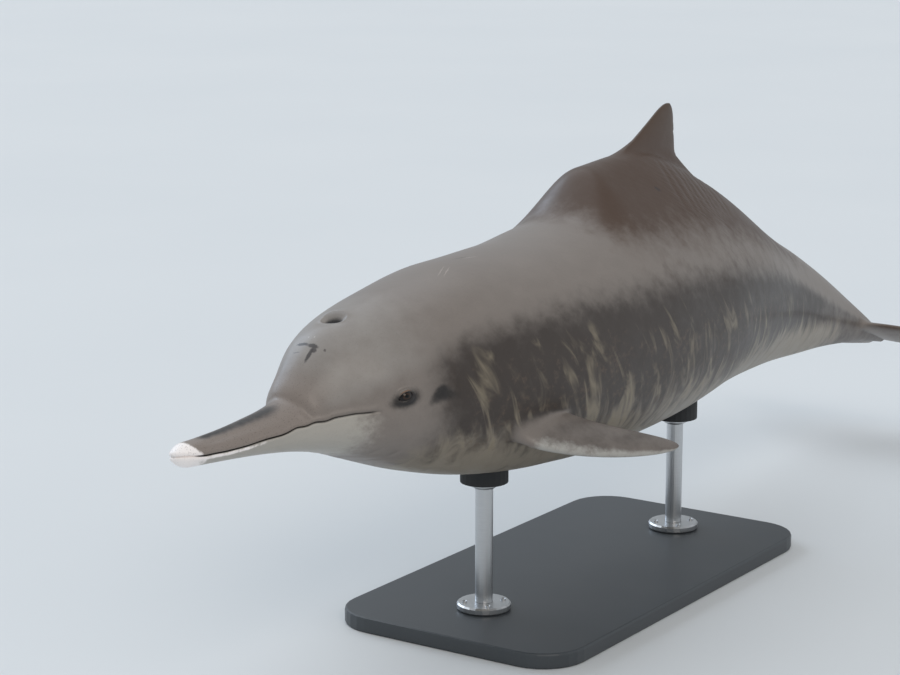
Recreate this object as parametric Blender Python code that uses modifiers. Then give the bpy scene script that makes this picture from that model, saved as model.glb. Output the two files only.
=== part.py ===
"""Life-size display model of an Indian Ocean humpback dolphin on a plain stand.

Metres, +Z up. The origin is the middle of the stand's underside. The animal swims towards -X, so its
left side faces -Y. It is drawn straight, as rings along its axis, and each ring is then set on a bent
axis, the spine line. Every named part of the body is a solid of its own, parted by thin cuts.
"""

import math

import bmesh
import bpy
import numpy as np
from mathutils import Matrix, Vector

# Driving sizes of the animal, in metres along its own straight axis.
LENGTH = 2.60  # the notch of the flukes
BEAK_TIP = 0.005  # the beak starts here
NOSE_ROUND = 0.026  # and rounds off over this length
BEAK_END = 0.238  # crease between beak and melon
GAPE = 0.362  # corner of the mouth
HEAD_END = 0.500
NECK_END = 0.620
CHEST_END = 0.94
BARREL_END = 1.56
TRUNK_END = 1.88
STOCK_MIDDLE = 2.20
EYE_ALONG = 0.412
EYE_ANGLE = 83.5  # degrees round the head from the top
EYE_RADIUS = 0.0175
EYE_SUNK = 0.0115  # the eyeball's centre lies this deep under the skin
BLOWHOLE_ALONG = 0.3925
BLOWHOLE_LEFT = 0.0155  # it lies a little to the left, as in every toothed whale
BLOWHOLE_HALF_LENGTH = 0.0140  # it stands open for a breath
BLOWHOLE_HALF_WIDTH = 0.0245
BLOWHOLE_TURN = 8.0  # degrees
BLOWHOLE_DEPTH = 0.012
BLOWHOLE_STEPS = 20
MOUTH_STRAIGHT = 0.20  # the mouth line sags up to here and then curls up to the gape
MOUTH_SAG = 0.0087
MOUTH_SAG_END = 0.10
MOUTH_BACK = 0.006  # what is left of the sag once the line has risen again
MOUTH_RISE = (0.13, 0.18)
MOUTH_SMILE = 0.0050
MOUTH_ARCH = 0.0052
MOUTH_ARCH_RISE = 0.24
MOUTH_ARCH_FALL = 0.312
THROAT_FROM = 0.41  # behind the gape the cut between head and throat sinks to its depth here
THROAT_DROP = 0.025
HUMP_START = 1.035
HUMP_FULL = 1.169  # the end of its steep front
HUMP_FALL = 1.302  # the start of its long slope to the tail
HUMP_END = 1.985
HUMP_HEIGHT = 0.116
HUMP_SHOULDER = 0.702  # height of the front shoulder, as a share of the whole
SHOULDER_START = 1.09
SHOULDER_END = 1.43
HUMP_HALF_WIDTH = 0.115
FIN_FRONT = 1.310  # where the back fin's leading edge leaves the crest
FIN_RUN = 0.185  # how far back the leading edge runs up to the tip
FIN_BOW = 0.66  # below 1 the leading edge rises slowly first and then steeply
FIN_TIP = 1.514
FIN_REAR = 1.529  # its upright trailing edge
FIN_FOOT = 0.070  # the trailing edge's flare at the crest
FIN_FOOT_SHARE = 0.30  # which ends at this share of the height
FIN_HEIGHT = 0.124
FIN_THICK = 0.015
FIN_TIP_ROUND = 12  # the higher, the blunter the fin's tip
FLIPPER_TIP_ROUND = 4
FLUKE_TIP_ROUND = 6
FLIPPER_ALONG = 0.635  # front of the flipper's root
FLIPPER_ANGLE = 125.4  # degrees round the chest from the top
FLIPPER_SPAN = 0.230  # root to tip, outwards
FLIPPER_SWEEP = 0.208  # and backwards
FLIPPER_CHORD = 0.128
FLIPPER_THICK = 0.020
FLIPPER_DROOP = 38.9
FLIPPER_TWIST = 16.7  # how far its trailing edge is raised
FLUKE_FRONT = 2.392
FLUKE_TIP = 2.660
FLUKE_SWEEP = 0.240
FLUKE_SPAN = 0.330  # middle of the notch to one tip
FLUKE_THICK = 0.014
FLUKE_DROOP = 0.020
FLUKE_LOBE = 0.040  # how far the trailing edge swells beside the notch
FLUKE_HOLLOW = 0.032  # how far it comes in again halfway out
FLUKE_HOOK = 0.060  # and how far it is drawn back at the tip

# The bent axis: nose-down angle, turn to the side and roll, in degrees, at stations along the body.
PITCH = ((0.0, 1.3), (0.40, 2.7), (1.30, -3.0), (LENGTH, -23.2))
TURN = ((0.0, -11.5), (0.40, -8.3), (1.05, 0.0), (LENGTH, 0.0))
ROLL = ((0.0, 10.5), (0.40, 10.5), (1.20, 6.2), (LENGTH, 6.2))
BALANCE_ALONG = 1.13  # this point of the axis stands over the middle of the base
AXIS_HEIGHT = 0.520  # and this far above the floor

# The stand.
BASE_LENGTH = 1.00
BASE_WIDTH = 0.52
BASE_THICK = 0.030
BASE_CORNER = 0.090
BASE_EDGE = 0.004
FLANGE_RADIUS = 0.052
FLANGE_THICK = 0.014
FLANGE_EDGE = 0.003
PAD_RADIUS = 0.046
PAD_THICK = 0.026  # from the rod's end to the belly
PAD_RISE = 0.030  # the pad's rim may rise this far beside the belly
ROD_RADIUS = 0.017
ROD_STATIONS = {"front": 0.80, "rear": 1.50}

SIDES = 32  # points round each ring
PARTING = 9  # this point of a ring lies on the mouth line
BLADE_SIDES = 14  # points round a fin's section
GAP = 0.0003  # between two solids that touch
LIPS_GAP = 0.0010  # under the upper half of the head, where the jaw and throat meet it
ENVELOPE = 0.0005  # how far the trimming skin stands off the body
SPINE_STEPS = 520

# Widths and heights of the body, by station: the drawing that every ring is read from.
# The widest level is the height at which a ring is widest. Keel pinches its top and bottom when it is
# above 0 and fills them out when it is below.
STATIONS = (
    # along, back, belly, half width, widest level, keel
    (0.000, 0.0195, -0.0210, 0.0260, -0.001, 0.00),  # tip of the beak
    (0.080, 0.0225, -0.0255, 0.0305, -0.002, 0.00),
    (0.160, 0.0310, -0.0320, 0.0370, -0.003, 0.00),
    (0.235, 0.0450, -0.0420, 0.0500, -0.005, 0.00),  # beak base
    (0.285, 0.0960, -0.0530, 0.0730, -0.008, -0.06),  # front of the melon
    (0.340, 0.1410, -0.0700, 0.1030, -0.010, -0.14),
    (0.410, 0.1660, -0.0990, 0.1380, -0.006, -0.18),  # eyes and blowhole
    (0.520, 0.1895, -0.1450, 0.1690, 0.000, -0.10),  # neck
    (0.680, 0.2088, -0.1920, 0.1980, 0.000, -0.03),  # flippers
    (0.860, 0.2092, -0.2200, 0.2170, -0.005, 0.00),
    (1.090, 0.2282, -0.2330, 0.2230, -0.010, 0.05),  # deepest
    (1.350, 0.2230, -0.2230, 0.2030, -0.010, 0.10),
    (1.610, 0.2000, -0.1880, 0.1580, -0.005, 0.20),
    (1.870, 0.1560, -0.1450, 0.1040, 0.000, 0.35),  # tail stock
    (2.130, 0.1030, -0.1000, 0.0570, 0.000, 0.50),
    (2.340, 0.0580, -0.0580, 0.0300, 0.000, 0.50),
    (2.470, 0.0310, -0.0310, 0.0240, 0.000, 0.20),  # root of the flukes
    (2.600, 0.0060, -0.0060, 0.0080, 0.000, 0.00),  # notch
)

SKIN_COLOUR = (0.165, 0.135, 0.118)
FIN_COLOUR = (0.120, 0.098, 0.085)
PALE_COLOUR = (0.420, 0.375, 0.335)
EYE_COLOUR = (0.012, 0.009, 0.008)
STAND_COLOUR = (0.045, 0.047, 0.050)
STEEL_COLOUR = (0.520, 0.530, 0.540)
RUBBER_COLOUR = (0.030, 0.030, 0.032)


def smoothstep(low, high, x):
    t = min(max((x - low) / (high - low), 0.0), 1.0)
    return t * t * (3.0 - 2.0 * t)


def steady_curve(rows, column):
    """A smooth curve through the stations that never overshoots between two of them."""
    x = [row[0] for row in rows]
    y = [row[column] for row in rows]
    step = [x[i + 1] - x[i] for i in range(len(x) - 1)]
    slope = [(y[i + 1] - y[i]) / step[i] for i in range(len(step))]
    tangent = [slope[0]]
    for i in range(1, len(step)):
        if slope[i - 1] * slope[i] <= 0.0:
            tangent.append(0.0)
        else:
            w0 = 2.0 * step[i] + step[i - 1]
            w1 = step[i] + 2.0 * step[i - 1]
            tangent.append((w0 + w1) / (w0 / slope[i - 1] + w1 / slope[i]))
    tangent.append(slope[-1])

    def value(at):
        i = min(max(int(np.searchsorted(x, at)) - 1, 0), len(step) - 1)
        t = min(max((at - x[i]) / step[i], 0.0), 1.0)
        near = (1.0 + 2.0 * t) * (1.0 - t) ** 2 * y[i] + t * t * (3.0 - 2.0 * t) * y[i + 1]
        return near + step[i] * (t * (1.0 - t) ** 2 * tangent[i] - t * t * (1.0 - t) * tangent[i + 1])

    return value


BACK, BELLY, HALF_WIDTH, WIDEST, KEEL = (steady_curve(STATIONS, c) for c in range(1, 6))


def spine_table():
    """Points and frames of the bent axis: where each is, and its back, left and up directions."""
    along = np.linspace(0.0, LENGTH, SPINE_STEPS + 1)
    pitch, turn, roll = (
        np.radians([steady_curve(rows, 1)(s) for s in along]) for rows in (PITCH, TURN, ROLL)
    )
    back = np.stack([np.cos(pitch) * np.cos(turn), np.cos(pitch) * np.sin(turn), np.sin(pitch)], 1)
    left = np.stack([np.sin(turn), -np.cos(turn), 0.0 * turn], 1)
    up = np.cross(left, back)
    rolled_left = left * np.cos(roll)[:, None] + up * np.sin(roll)[:, None]
    rolled_up = up * np.cos(roll)[:, None] - left * np.sin(roll)[:, None]
    step = LENGTH / SPINE_STEPS
    points = np.vstack([np.zeros(3), np.cumsum((back[1:] + back[:-1]) * 0.5 * step, axis=0)])
    middle = [np.interp(BALANCE_ALONG, along, points[:, k]) for k in range(3)]
    points += np.array([0.0, 0.0, AXIS_HEIGHT]) - np.array(middle)
    return along, points, back, rolled_left, rolled_up


SPINE = spine_table()


def place(along, side, up):
    """World position of a point of the straight animal: side is to its left, up is above its axis."""
    table_along, points, back, left, above = SPINE
    inside = min(max(along, 0.0), LENGTH)

    def read(rows):
        return Vector([float(np.interp(inside, table_along, rows[:, k])) for k in range(3)])

    return read(points) + read(left) * side + read(above) * up + read(back) * (along - inside)


def hump_height(along):
    rise = smoothstep(HUMP_START, HUMP_FULL, along)
    shoulder = HUMP_SHOULDER + (1.0 - HUMP_SHOULDER) * smoothstep(SHOULDER_START, SHOULDER_END, along)
    fall = 1.0 - smoothstep(HUMP_FALL, HUMP_END, along)
    return HUMP_HEIGHT * rise * shoulder * fall


def ring_point(along, angle):
    """One point of the body's outline: angle in radians from the top, round by the left side."""
    back, belly, half, widest, keel = (f(along) for f in (BACK, BELLY, HALF_WIDTH, WIDEST, KEEL))
    tip = math.sqrt(1.0 - (1.0 - min(max((along - BEAK_TIP) / NOSE_ROUND, 0.0), 1.0)) ** 2)
    sine, cosine = math.sin(angle), math.cos(angle)
    side = math.copysign(half * abs(sine) ** (1.0 + keel), sine) * tip
    up = (widest + (back - widest if cosine > 0.0 else widest - belly) * cosine) * tip
    crest = smoothstep(0.0, 0.5, cosine) * math.exp(-1.2 * (side / HUMP_HALF_WIDTH) ** 2)
    return side, up + hump_height(along) * crest


def parting_level(along):
    """Height of the mouth line, and behind the gape of the cut between head and throat."""
    sag = 0.8 * smoothstep(0.0, 0.6 * MOUTH_SAG_END, along)
    sag += 0.2 * smoothstep(0.6 * MOUTH_SAG_END, MOUTH_SAG_END, along)
    front = (MOUTH_SAG - MOUTH_BACK) * smoothstep(*MOUTH_RISE, along) - MOUTH_SAG * sag
    arch = MOUTH_ARCH * smoothstep(MOUTH_STRAIGHT, MOUTH_ARCH_RISE, along)
    arch *= 1.0 - smoothstep(MOUTH_ARCH_FALL, GAPE, along)
    smile = MOUTH_SMILE * smoothstep(MOUTH_STRAIGHT, GAPE, along)
    behind = THROAT_DROP * smoothstep(GAPE, THROAT_FROM, along)
    return front + arch + smile - behind


def ring_angles(along):
    """Angles of a ring's points. On the head, point PARTING follows the mouth line."""
    even = 2.0 * math.pi / SIDES
    back, belly, widest = BACK(along), BELLY(along), WIDEST(along)
    above = parting_level(along) - widest
    parting = math.acos(max(above / (back - widest if above > 0.0 else widest - belly), -1.0))
    share = 1.0 - smoothstep(HEAD_END, HEAD_END + 0.12, along)
    parting = PARTING * even * (1.0 - share) + parting * share
    half = [parting * j / PARTING for j in range(PARTING)]
    below = SIDES // 2 - PARTING
    half += [parting + (math.pi - parting) * j / below for j in range(below + 1)]
    return half + [2.0 * math.pi - a for a in reversed(half[1:-1])]


def ring(along):
    return [place(along, *ring_point(along, a)) for a in ring_angles(along)]


def stations_between(start, end):
    """Ring positions, close together on the beak and head and wider along the trunk.

    Pieces that lie side by side share their rings, so that their common cut is one surface.
    """
    fixed = [BEAK_TIP + step for step in (0.0, 0.003, 0.009, 0.018, NOSE_ROUND + 0.004)]
    while fixed[-1] < LENGTH - 0.004:
        s = fixed[-1]
        step = 0.018 + 0.034 * smoothstep(0.30, 0.62, s) - 0.016 * smoothstep(2.20, 2.45, s)
        fixed.append(min(s + step, LENGTH))
    shared = [s for s in (BEAK_END, GAPE) if start + 0.004 < s < end - 0.004]
    known = [start] + shared + [end]
    return sorted(known + [s for s in fixed if start < s < end and min(abs(s - k) for k in known) > 0.004])


def part_of(ring_points, first, last, gap):
    """The points first..last of a ring, whose ends step back by half a gap, joined by a straight cut."""
    count = len(ring_points)
    index = [i % count for i in range(first, last + 1)]
    part = [ring_points[i].copy() for i in index]
    for end, inner in ((0, 1), (-1, -2)):
        step = part[inner] - part[end]
        part[end] = part[end] + step.normalized() * min(gap / 2.0, step.length * 0.4)
    return part


def collection(name):
    found = bpy.data.collections.new(name)
    bpy.context.scene.collection.children.link(found)
    return found


def material(name, colour, roughness, metallic=0.0):
    made = bpy.data.materials.new(name)
    made.use_nodes = True
    shader = made.node_tree.nodes["Principled BSDF"]
    shader.inputs["Base Color"].default_value = (*colour, 1.0)
    shader.inputs["Roughness"].default_value = roughness
    shader.inputs["Metallic"].default_value = metallic
    return made


def add_object(name, mesh_builder, finish, group):
    """Closes a bmesh into a named object, with its faces pointing outwards."""
    bmesh.ops.recalc_face_normals(mesh_builder, faces=mesh_builder.faces)
    mesh = bpy.data.meshes.new(name)
    mesh_builder.to_mesh(mesh)
    mesh_builder.free()
    made = bpy.data.objects.new(name, mesh)
    if finish is not None:
        mesh.materials.append(finish)
    mesh.shade_smooth()
    mesh.set_sharp_from_angle(angle=math.radians(40.0))
    group.objects.link(made)
    return made


def loft(name, rings, finish, group, pointed_start=False, pointed_end=False):
    """A closed solid through rings of equal count. A pointed end gathers its first or last ring."""
    bm = bmesh.new()
    rows = [[bm.verts.new(p) for p in points] for points in rings]
    count = len(rows[0])
    for near, far in zip(rows, rows[1:]):
        for i in range(count):
            j = (i + 1) % count
            bm.faces.new((near[i], near[j], far[j]))
            bm.faces.new((near[i], far[j], far[i]))
    for row, pointed in ((rows[0], pointed_start), (rows[-1], pointed_end)):
        if pointed:
            bmesh.ops.pointmerge(bm, verts=row, merge_co=sum((v.co for v in row), Vector()) / count)
        else:
            bm.faces.new(row)
    bmesh.ops.dissolve_degenerate(bm, dist=0.00002, edges=bm.edges)
    return add_object(name, bm, finish, group)


def as_cutter(cutter):
    cutter.hide_render = True
    cutter.display_type = "WIRE"
    return cutter


def cut(target, cutter):
    """Takes the cutter's shape away from the target."""
    step = target.modifiers.new("cut_" + cutter.name, "BOOLEAN")
    step.operation = "DIFFERENCE"
    step.object = cutter


def body_piece(name, start, end, finish, group, indices=None, gap=GAP):
    """A length of the body between two thin cuts, whole or only some points of each ring."""
    low = start + (GAP / 2.0 if start > BEAK_TIP else 0.0)
    high = end - (GAP / 2.0 if end < LENGTH else 0.0)
    rings = [ring(s) for s in stations_between(low, high)]
    if indices:
        rings = [part_of(r, indices[0], indices[1], gap) for r in rings]
    return loft(name, rings, finish, group, pointed_start=start == BEAK_TIP)


def body_envelope(group):
    """The whole skin, a hair's breadth larger, that trims what grows from it or bears it."""
    rings = [ring(s) for s in stations_between(BEAK_TIP, LENGTH)]
    skin = loft("body_envelope", rings, None, group, pointed_start=True)
    swell = skin.modifiers.new("stand_off", "DISPLACE")
    swell.mid_level = 0.0
    swell.strength = ENVELOPE
    return as_cutter(skin)


def build_body(finishes, group):
    """Beak, jaw, head, throat and the lengths of the trunk and tail stock. Hands back the head."""
    upper = (-PARTING, PARTING)
    lower = (PARTING, SIDES - PARTING)
    skin, pale = finishes["skin"], finishes["pale"]
    body_piece("beak_upper", BEAK_TIP, BEAK_END, skin, group, upper, LIPS_GAP)
    body_piece("jaw_lower", BEAK_TIP, GAPE, pale, group, lower, LIPS_GAP)
    head = body_piece("head", BEAK_END, HEAD_END, skin, group, upper)
    body_piece("throat", GAPE, HEAD_END, pale, group, lower, LIPS_GAP)
    body_piece("neck", HEAD_END, NECK_END, skin, group)
    body_piece("chest", NECK_END, CHEST_END, skin, group)
    body_piece("trunk_hump", CHEST_END, BARREL_END, skin, group)
    body_piece("trunk_rear", BARREL_END, TRUNK_END, skin, group)
    body_piece("tail_stock_front", TRUNK_END, STOCK_MIDDLE, skin, group)
    body_piece("tail_stock_rear", STOCK_MIDDLE, LENGTH, skin, group)
    return head


def eyeball(name, side, radius, finish, group):
    """A sphere sunk in the side of the head; side is 1 for left and -1 for right."""
    across, up = ring_point(EYE_ALONG, math.radians(EYE_ANGLE))
    centre = place(EYE_ALONG, side * (across - EYE_SUNK), up)
    bm = bmesh.new()
    bmesh.ops.create_uvsphere(
        bm, u_segments=14, v_segments=9, radius=radius, matrix=Matrix.Translation(centre)
    )
    return add_object(name, bm, finish, group)


def blowhole_opening(group):
    """An oval well in the top of the head, open for a breath."""
    turned = math.radians(BLOWHOLE_TURN)
    rings = []
    for level in (BACK(BLOWHOLE_ALONG) + BLOWHOLE_DEPTH, BACK(BLOWHOLE_ALONG) - BLOWHOLE_DEPTH):
        rings.append([])
        for k in range(BLOWHOLE_STEPS):
            around = 2.0 * math.pi * k / BLOWHOLE_STEPS
            back = BLOWHOLE_HALF_LENGTH * math.cos(around)
            left = BLOWHOLE_HALF_WIDTH * math.sin(around)
            along = BLOWHOLE_ALONG + back * math.cos(turned) + left * math.sin(turned)
            across = BLOWHOLE_LEFT - back * math.sin(turned) + left * math.cos(turned)
            rings[-1].append(place(along, across, level))
    return as_cutter(loft("blowhole_cutter", rings, None, group))


def blade_section(lead, trail, thick):
    """Points round a fin's section: blunt at the leading edge, thin but not sharp at the trailing."""
    chord = trail - lead
    points = []
    for k in range(BLADE_SIDES):
        turn = 2.0 * math.pi * k / BLADE_SIDES
        x = 0.5 - 0.5 * math.cos(turn)
        swell = 2.6 * math.sqrt(x) * (1.0 - x) ** 0.8 * 0.62
        half = thick * (swell + 0.10 * math.sqrt(max(1.0 - (2.0 * x - 1.0) ** 8, 0.0)))
        points.append((lead + chord * x, half if turn < math.pi else -half))
    return points


def span_levels(span, sunk, count):
    """Heights of a fin's sections, from inside the body to its tip, and how far out each lies, 0 to 1."""
    for k in range(count + 1):
        out = (span + sunk) * math.sin(0.5 * math.pi * k / count) - sunk
        yield out, max(out, 0.0) / span


def dorsal_fin(finish, group):
    """A low curved triangle on the crest of the hump, its foot flared into it."""
    rings = []
    for height, rise in span_levels(FIN_HEIGHT, 0.022, 9):
        lead = FIN_FRONT + FIN_RUN * rise**FIN_BOW
        trail = FIN_REAR + FIN_FOOT * (1.0 - min(rise / FIN_FOOT_SHARE, 1.0)) ** 2.6
        tip = math.sqrt(max(1.0 - rise**FIN_TIP_ROUND, 0.0))
        lead, trail = (x * tip + FIN_TIP * (1.0 - tip) for x in (lead, trail))
        thick = FIN_THICK * (1.0 - 0.55 * rise) * (0.35 + 0.65 * tip)
        section = blade_section(lead, max(trail, lead + 0.008), thick)
        rings.append([place(x, y, BACK(x) + hump_height(x) + height) for x, y in section])
    return loft("dorsal_fin", rings, finish, group)


def flipper(name, side, finish, group):
    """A broad swept blade from low on the chest, its trailing edge raised; side is 1 for left."""
    across, up = ring_point(FLIPPER_ALONG + 0.06, math.radians(FLIPPER_ANGLE))
    droop, twist = math.radians(FLIPPER_DROOP), math.radians(FLIPPER_TWIST)
    rings = []
    for span, reach in span_levels(FLIPPER_SPAN, 0.060, 11):
        tip = math.sqrt(max(1.0 - reach**FLIPPER_TIP_ROUND, 0.0))
        chord = FLIPPER_CHORD * (1.0 - 0.25 * reach)
        lead = FLIPPER_SWEEP * reach**1.4
        lead, trail = (x * tip + (lead + 0.55 * chord) * (1.0 - tip) for x in (lead, lead + chord))
        thick = FLIPPER_THICK * (1.0 - 0.70 * reach) * (0.4 + 0.6 * tip) + 0.0012
        rings.append([])
        for x, y in blade_section(lead, max(trail, lead + 0.012), thick):
            out = across - 0.004 + span * math.cos(droop) + y * math.sin(droop)
            level = up - span * math.sin(droop) + y * math.cos(droop) + x * math.sin(twist)
            rings[-1].append(place(FLIPPER_ALONG + x * math.cos(twist), side * out, level))
    return loft(name, rings, finish, group)


def fluke(name, side, finish, group):
    """One swept half of the tail fin, level across the animal; side is 1 for left."""
    rings = []
    for out, reach in span_levels(FLUKE_SPAN, -GAP, 12):
        tip = math.sqrt(max(1.0 - reach**FLUKE_TIP_ROUND, 0.0))
        lead = FLUKE_FRONT + FLUKE_SWEEP * reach**1.35
        lobe = FLUKE_LOBE * smoothstep(0.0, 0.16, reach) - FLUKE_HOLLOW * smoothstep(0.22, 0.75, reach)
        trail = LENGTH - 0.002 + lobe + FLUKE_HOOK * smoothstep(0.60, 1.0, reach)
        lead, trail = (x * tip + FLUKE_TIP * (1.0 - tip) for x in (lead, trail))
        thick = FLUKE_THICK * (1.0 - 0.72 * reach) * (0.5 + 0.5 * tip) + 0.0008
        section = blade_section(lead, max(trail, lead + 0.010), thick)
        rings.append([place(x, side * out, y - FLUKE_DROOP * reach**2) for x, y in section])
    return loft(name, rings, finish, group)


def cylinder(name, radius, low, high, centre, finish, group, bevel=0.0):
    bm = bmesh.new()
    bmesh.ops.create_cone(
        bm,
        cap_ends=True,
        segments=24,
        radius1=radius,
        radius2=radius,
        depth=high - low,
        matrix=Matrix.Translation((centre[0], centre[1], (low + high) / 2.0)),
    )
    made = add_object(name, bm, finish, group)
    if bevel:
        edge = made.modifiers.new("edge", "BEVEL")
        edge.width = bevel
        edge.segments = 1
        edge.limit_method = "ANGLE"
    return made


def belly_point(along):
    """Lowest point of the body's ring at a station."""
    return min(ring(along), key=lambda p: p.z)


def build_stand(finishes, envelope, group):
    """A rounded base plate and two short rods with flanges, each with a pad under the belly."""
    bm = bmesh.new()
    size = Matrix.Diagonal((BASE_LENGTH, BASE_WIDTH, BASE_THICK, 1.0))
    bmesh.ops.create_cube(bm, size=1.0, matrix=Matrix.Translation((0.0, 0.0, BASE_THICK / 2.0)) @ size)
    upright = [e for e in bm.edges if abs(e.verts[0].co.z - e.verts[1].co.z) > BASE_THICK / 2.0]
    bmesh.ops.bevel(
        bm, geom=upright, offset=BASE_CORNER, segments=7, profile=0.5, affect="EDGES", material=-1
    )
    base = add_object("stand_base", bm, finishes["stand"], group)
    edge = base.modifiers.new("edge", "BEVEL")
    edge.width = BASE_EDGE
    edge.segments = 2
    edge.limit_method = "ANGLE"
    for where, along in ROD_STATIONS.items():
        contact = belly_point(along)
        centre = (contact.x, contact.y)
        flange_low = BASE_THICK + GAP
        rod_low = flange_low + FLANGE_THICK + GAP
        rod_high = contact.z - PAD_THICK
        cylinder("stand_flange_" + where, FLANGE_RADIUS, flange_low, rod_low - GAP, centre,
                 finishes["steel"], group, bevel=FLANGE_EDGE)
        cylinder("stand_rod_" + where, ROD_RADIUS, rod_low, rod_high, centre, finishes["steel"], group)
        pad = cylinder("stand_pad_" + where, PAD_RADIUS, rod_high + GAP, contact.z + PAD_RISE, centre,
                       finishes["rubber"], group)
        cut(pad, envelope)


def build():
    for old in list(bpy.data.objects):
        bpy.data.objects.remove(old)
    group = collection("humpback_dolphin")
    cutters = collection("cutters")
    finishes = {
        "skin": material("grey_brown_skin", SKIN_COLOUR, 0.38),
        "fin": material("dark_fin_skin", FIN_COLOUR, 0.40),
        "pale": material("pale_jaw_skin", PALE_COLOUR, 0.40),
        "eye": material("dark_wet_eye", EYE_COLOUR, 0.08),
        "stand": material("painted_base", STAND_COLOUR, 0.45),
        "steel": material("satin_steel", STEEL_COLOUR, 0.32, metallic=1.0),
        "rubber": material("rubber_pad", RUBBER_COLOUR, 0.70),
    }
    envelope = body_envelope(cutters)
    head = build_body(finishes, group)
    cut(head, blowhole_opening(cutters))
    for where, side in (("left", 1), ("right", -1)):
        eyeball("eye_" + where, side, EYE_RADIUS, finishes["eye"], group)
        socket = as_cutter(eyeball("socket_" + where, side, EYE_RADIUS + GAP, None, cutters))
        cut(head, socket)
        cut(flipper("flipper_" + where, side, finishes["fin"], group), envelope)
        cut(fluke("fluke_" + where, side, finishes["fin"], group), envelope)
    cut(dorsal_fin(finishes["fin"], group), envelope)
    build_stand(finishes, envelope, group)


build()
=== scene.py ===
import math
import bmesh
import bpy
import numpy as np
from mathutils import Matrix, Vector

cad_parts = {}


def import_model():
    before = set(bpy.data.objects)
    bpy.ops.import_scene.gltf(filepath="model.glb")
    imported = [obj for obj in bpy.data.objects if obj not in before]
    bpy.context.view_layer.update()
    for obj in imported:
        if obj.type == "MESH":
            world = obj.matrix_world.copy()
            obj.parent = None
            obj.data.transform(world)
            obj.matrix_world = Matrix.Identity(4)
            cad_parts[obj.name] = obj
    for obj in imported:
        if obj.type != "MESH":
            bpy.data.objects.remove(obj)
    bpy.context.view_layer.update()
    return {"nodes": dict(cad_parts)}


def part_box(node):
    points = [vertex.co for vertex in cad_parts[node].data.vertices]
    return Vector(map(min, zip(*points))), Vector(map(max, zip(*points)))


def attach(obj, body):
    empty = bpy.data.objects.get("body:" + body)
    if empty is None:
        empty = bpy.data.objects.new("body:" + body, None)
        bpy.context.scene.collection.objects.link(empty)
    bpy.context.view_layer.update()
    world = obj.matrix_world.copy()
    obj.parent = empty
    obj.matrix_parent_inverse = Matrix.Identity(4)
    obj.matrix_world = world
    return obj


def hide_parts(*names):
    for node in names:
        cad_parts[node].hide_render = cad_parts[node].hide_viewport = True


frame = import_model()
scene = bpy.context.scene
print("frame loaded:", len(frame["nodes"]), "nodes")

# The camera stands at the front left of the animal, a little above it.
view = {"azimuth": -56.14, "elevation": 12.38, "distance": 5.961, "aim": (0.576, 0.697, 0.312), "lens": 102.95}

azimuth, elevation = math.radians(view["azimuth"]), math.radians(view["elevation"])
fromAim = Vector((
    math.sin(azimuth) * math.cos(elevation), -math.cos(azimuth) * math.cos(elevation), math.sin(elevation),
))
camera = bpy.data.objects.new("camera", bpy.data.cameras.new("camera"))
camera.data.lens = view["lens"]
camera.data.sensor_width = 36.0
camera.data.clip_end = 200.0
camera.location = Vector(view["aim"]) + fromAim * view["distance"]
camera.rotation_euler = fromAim.to_track_quat("Z", "Y").to_euler()
scene.collection.objects.link(camera)
scene.camera = camera

# The animal is drawn straight: along its axis from the tip of the beak, to its left side, and up.
# All lengths are in metres and repeat the sizes of the solids.
body = {
    "length": 2.60, "beakTip": 0.005, "gape": 0.362, "headEnd": 0.500, "noseRound": 0.026,
    "humpStart": 1.035, "humpFull": 1.169, "humpFall": 1.302, "humpEnd": 1.985, "humpHeight": 0.116,
    "humpShoulder": 0.702, "shoulderStart": 1.09, "shoulderEnd": 1.43, "humpHalfWidth": 0.115,
    "stations": (  # along, back, belly, half width, widest level, keel
        (0.000, 0.0195, -0.0210, 0.0260, -0.001, 0.00), (0.080, 0.0225, -0.0255, 0.0305, -0.002, 0.00),
        (0.160, 0.0310, -0.0320, 0.0370, -0.003, 0.00), (0.235, 0.0450, -0.0420, 0.0500, -0.005, 0.00),
        (0.285, 0.0960, -0.0530, 0.0730, -0.008, -0.06), (0.340, 0.1410, -0.0700, 0.1030, -0.010, -0.14),
        (0.410, 0.1660, -0.0990, 0.1380, -0.006, -0.18), (0.520, 0.1895, -0.1450, 0.1690, 0.000, -0.10),
        (0.680, 0.2088, -0.1920, 0.1980, 0.000, -0.03), (0.860, 0.2092, -0.2200, 0.2170, -0.005, 0.00),
        (1.090, 0.2282, -0.2330, 0.2230, -0.010, 0.05), (1.350, 0.2230, -0.2230, 0.2030, -0.010, 0.10),
        (1.610, 0.2000, -0.1880, 0.1580, -0.005, 0.20), (1.870, 0.1560, -0.1450, 0.1040, 0.000, 0.35),
        (2.130, 0.1030, -0.1000, 0.0570, 0.000, 0.50), (2.340, 0.0580, -0.0580, 0.0300, 0.000, 0.50),
        (2.470, 0.0310, -0.0310, 0.0240, 0.000, 0.20), (2.600, 0.0060, -0.0060, 0.0080, 0.000, 0.00),
    ),
    # the bent axis: nose-down angle, turn to the side and roll, in degrees
    "pitch": ((0.0, 1.3), (0.40, 2.7), (1.30, -3.0), (2.60, -23.2)),
    "turn": ((0.0, -11.5), (0.40, -8.3), (1.05, 0.0), (2.60, 0.0)),
    "roll": ((0.0, 10.5), (0.40, 10.5), (1.20, 6.2), (2.60, 6.2)),
    "balanceAlong": 1.13, "axisHeight": 0.520, "spineSteps": 520,
}


def smoothStep(low, high, x):
    t = np.clip((x - low) / (high - low), 0.0, 1.0)
    return t * t * (3.0 - 2.0 * t)


def bell(x, centre, width):
    return np.exp(-(((x - centre) / width) ** 2))


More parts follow.
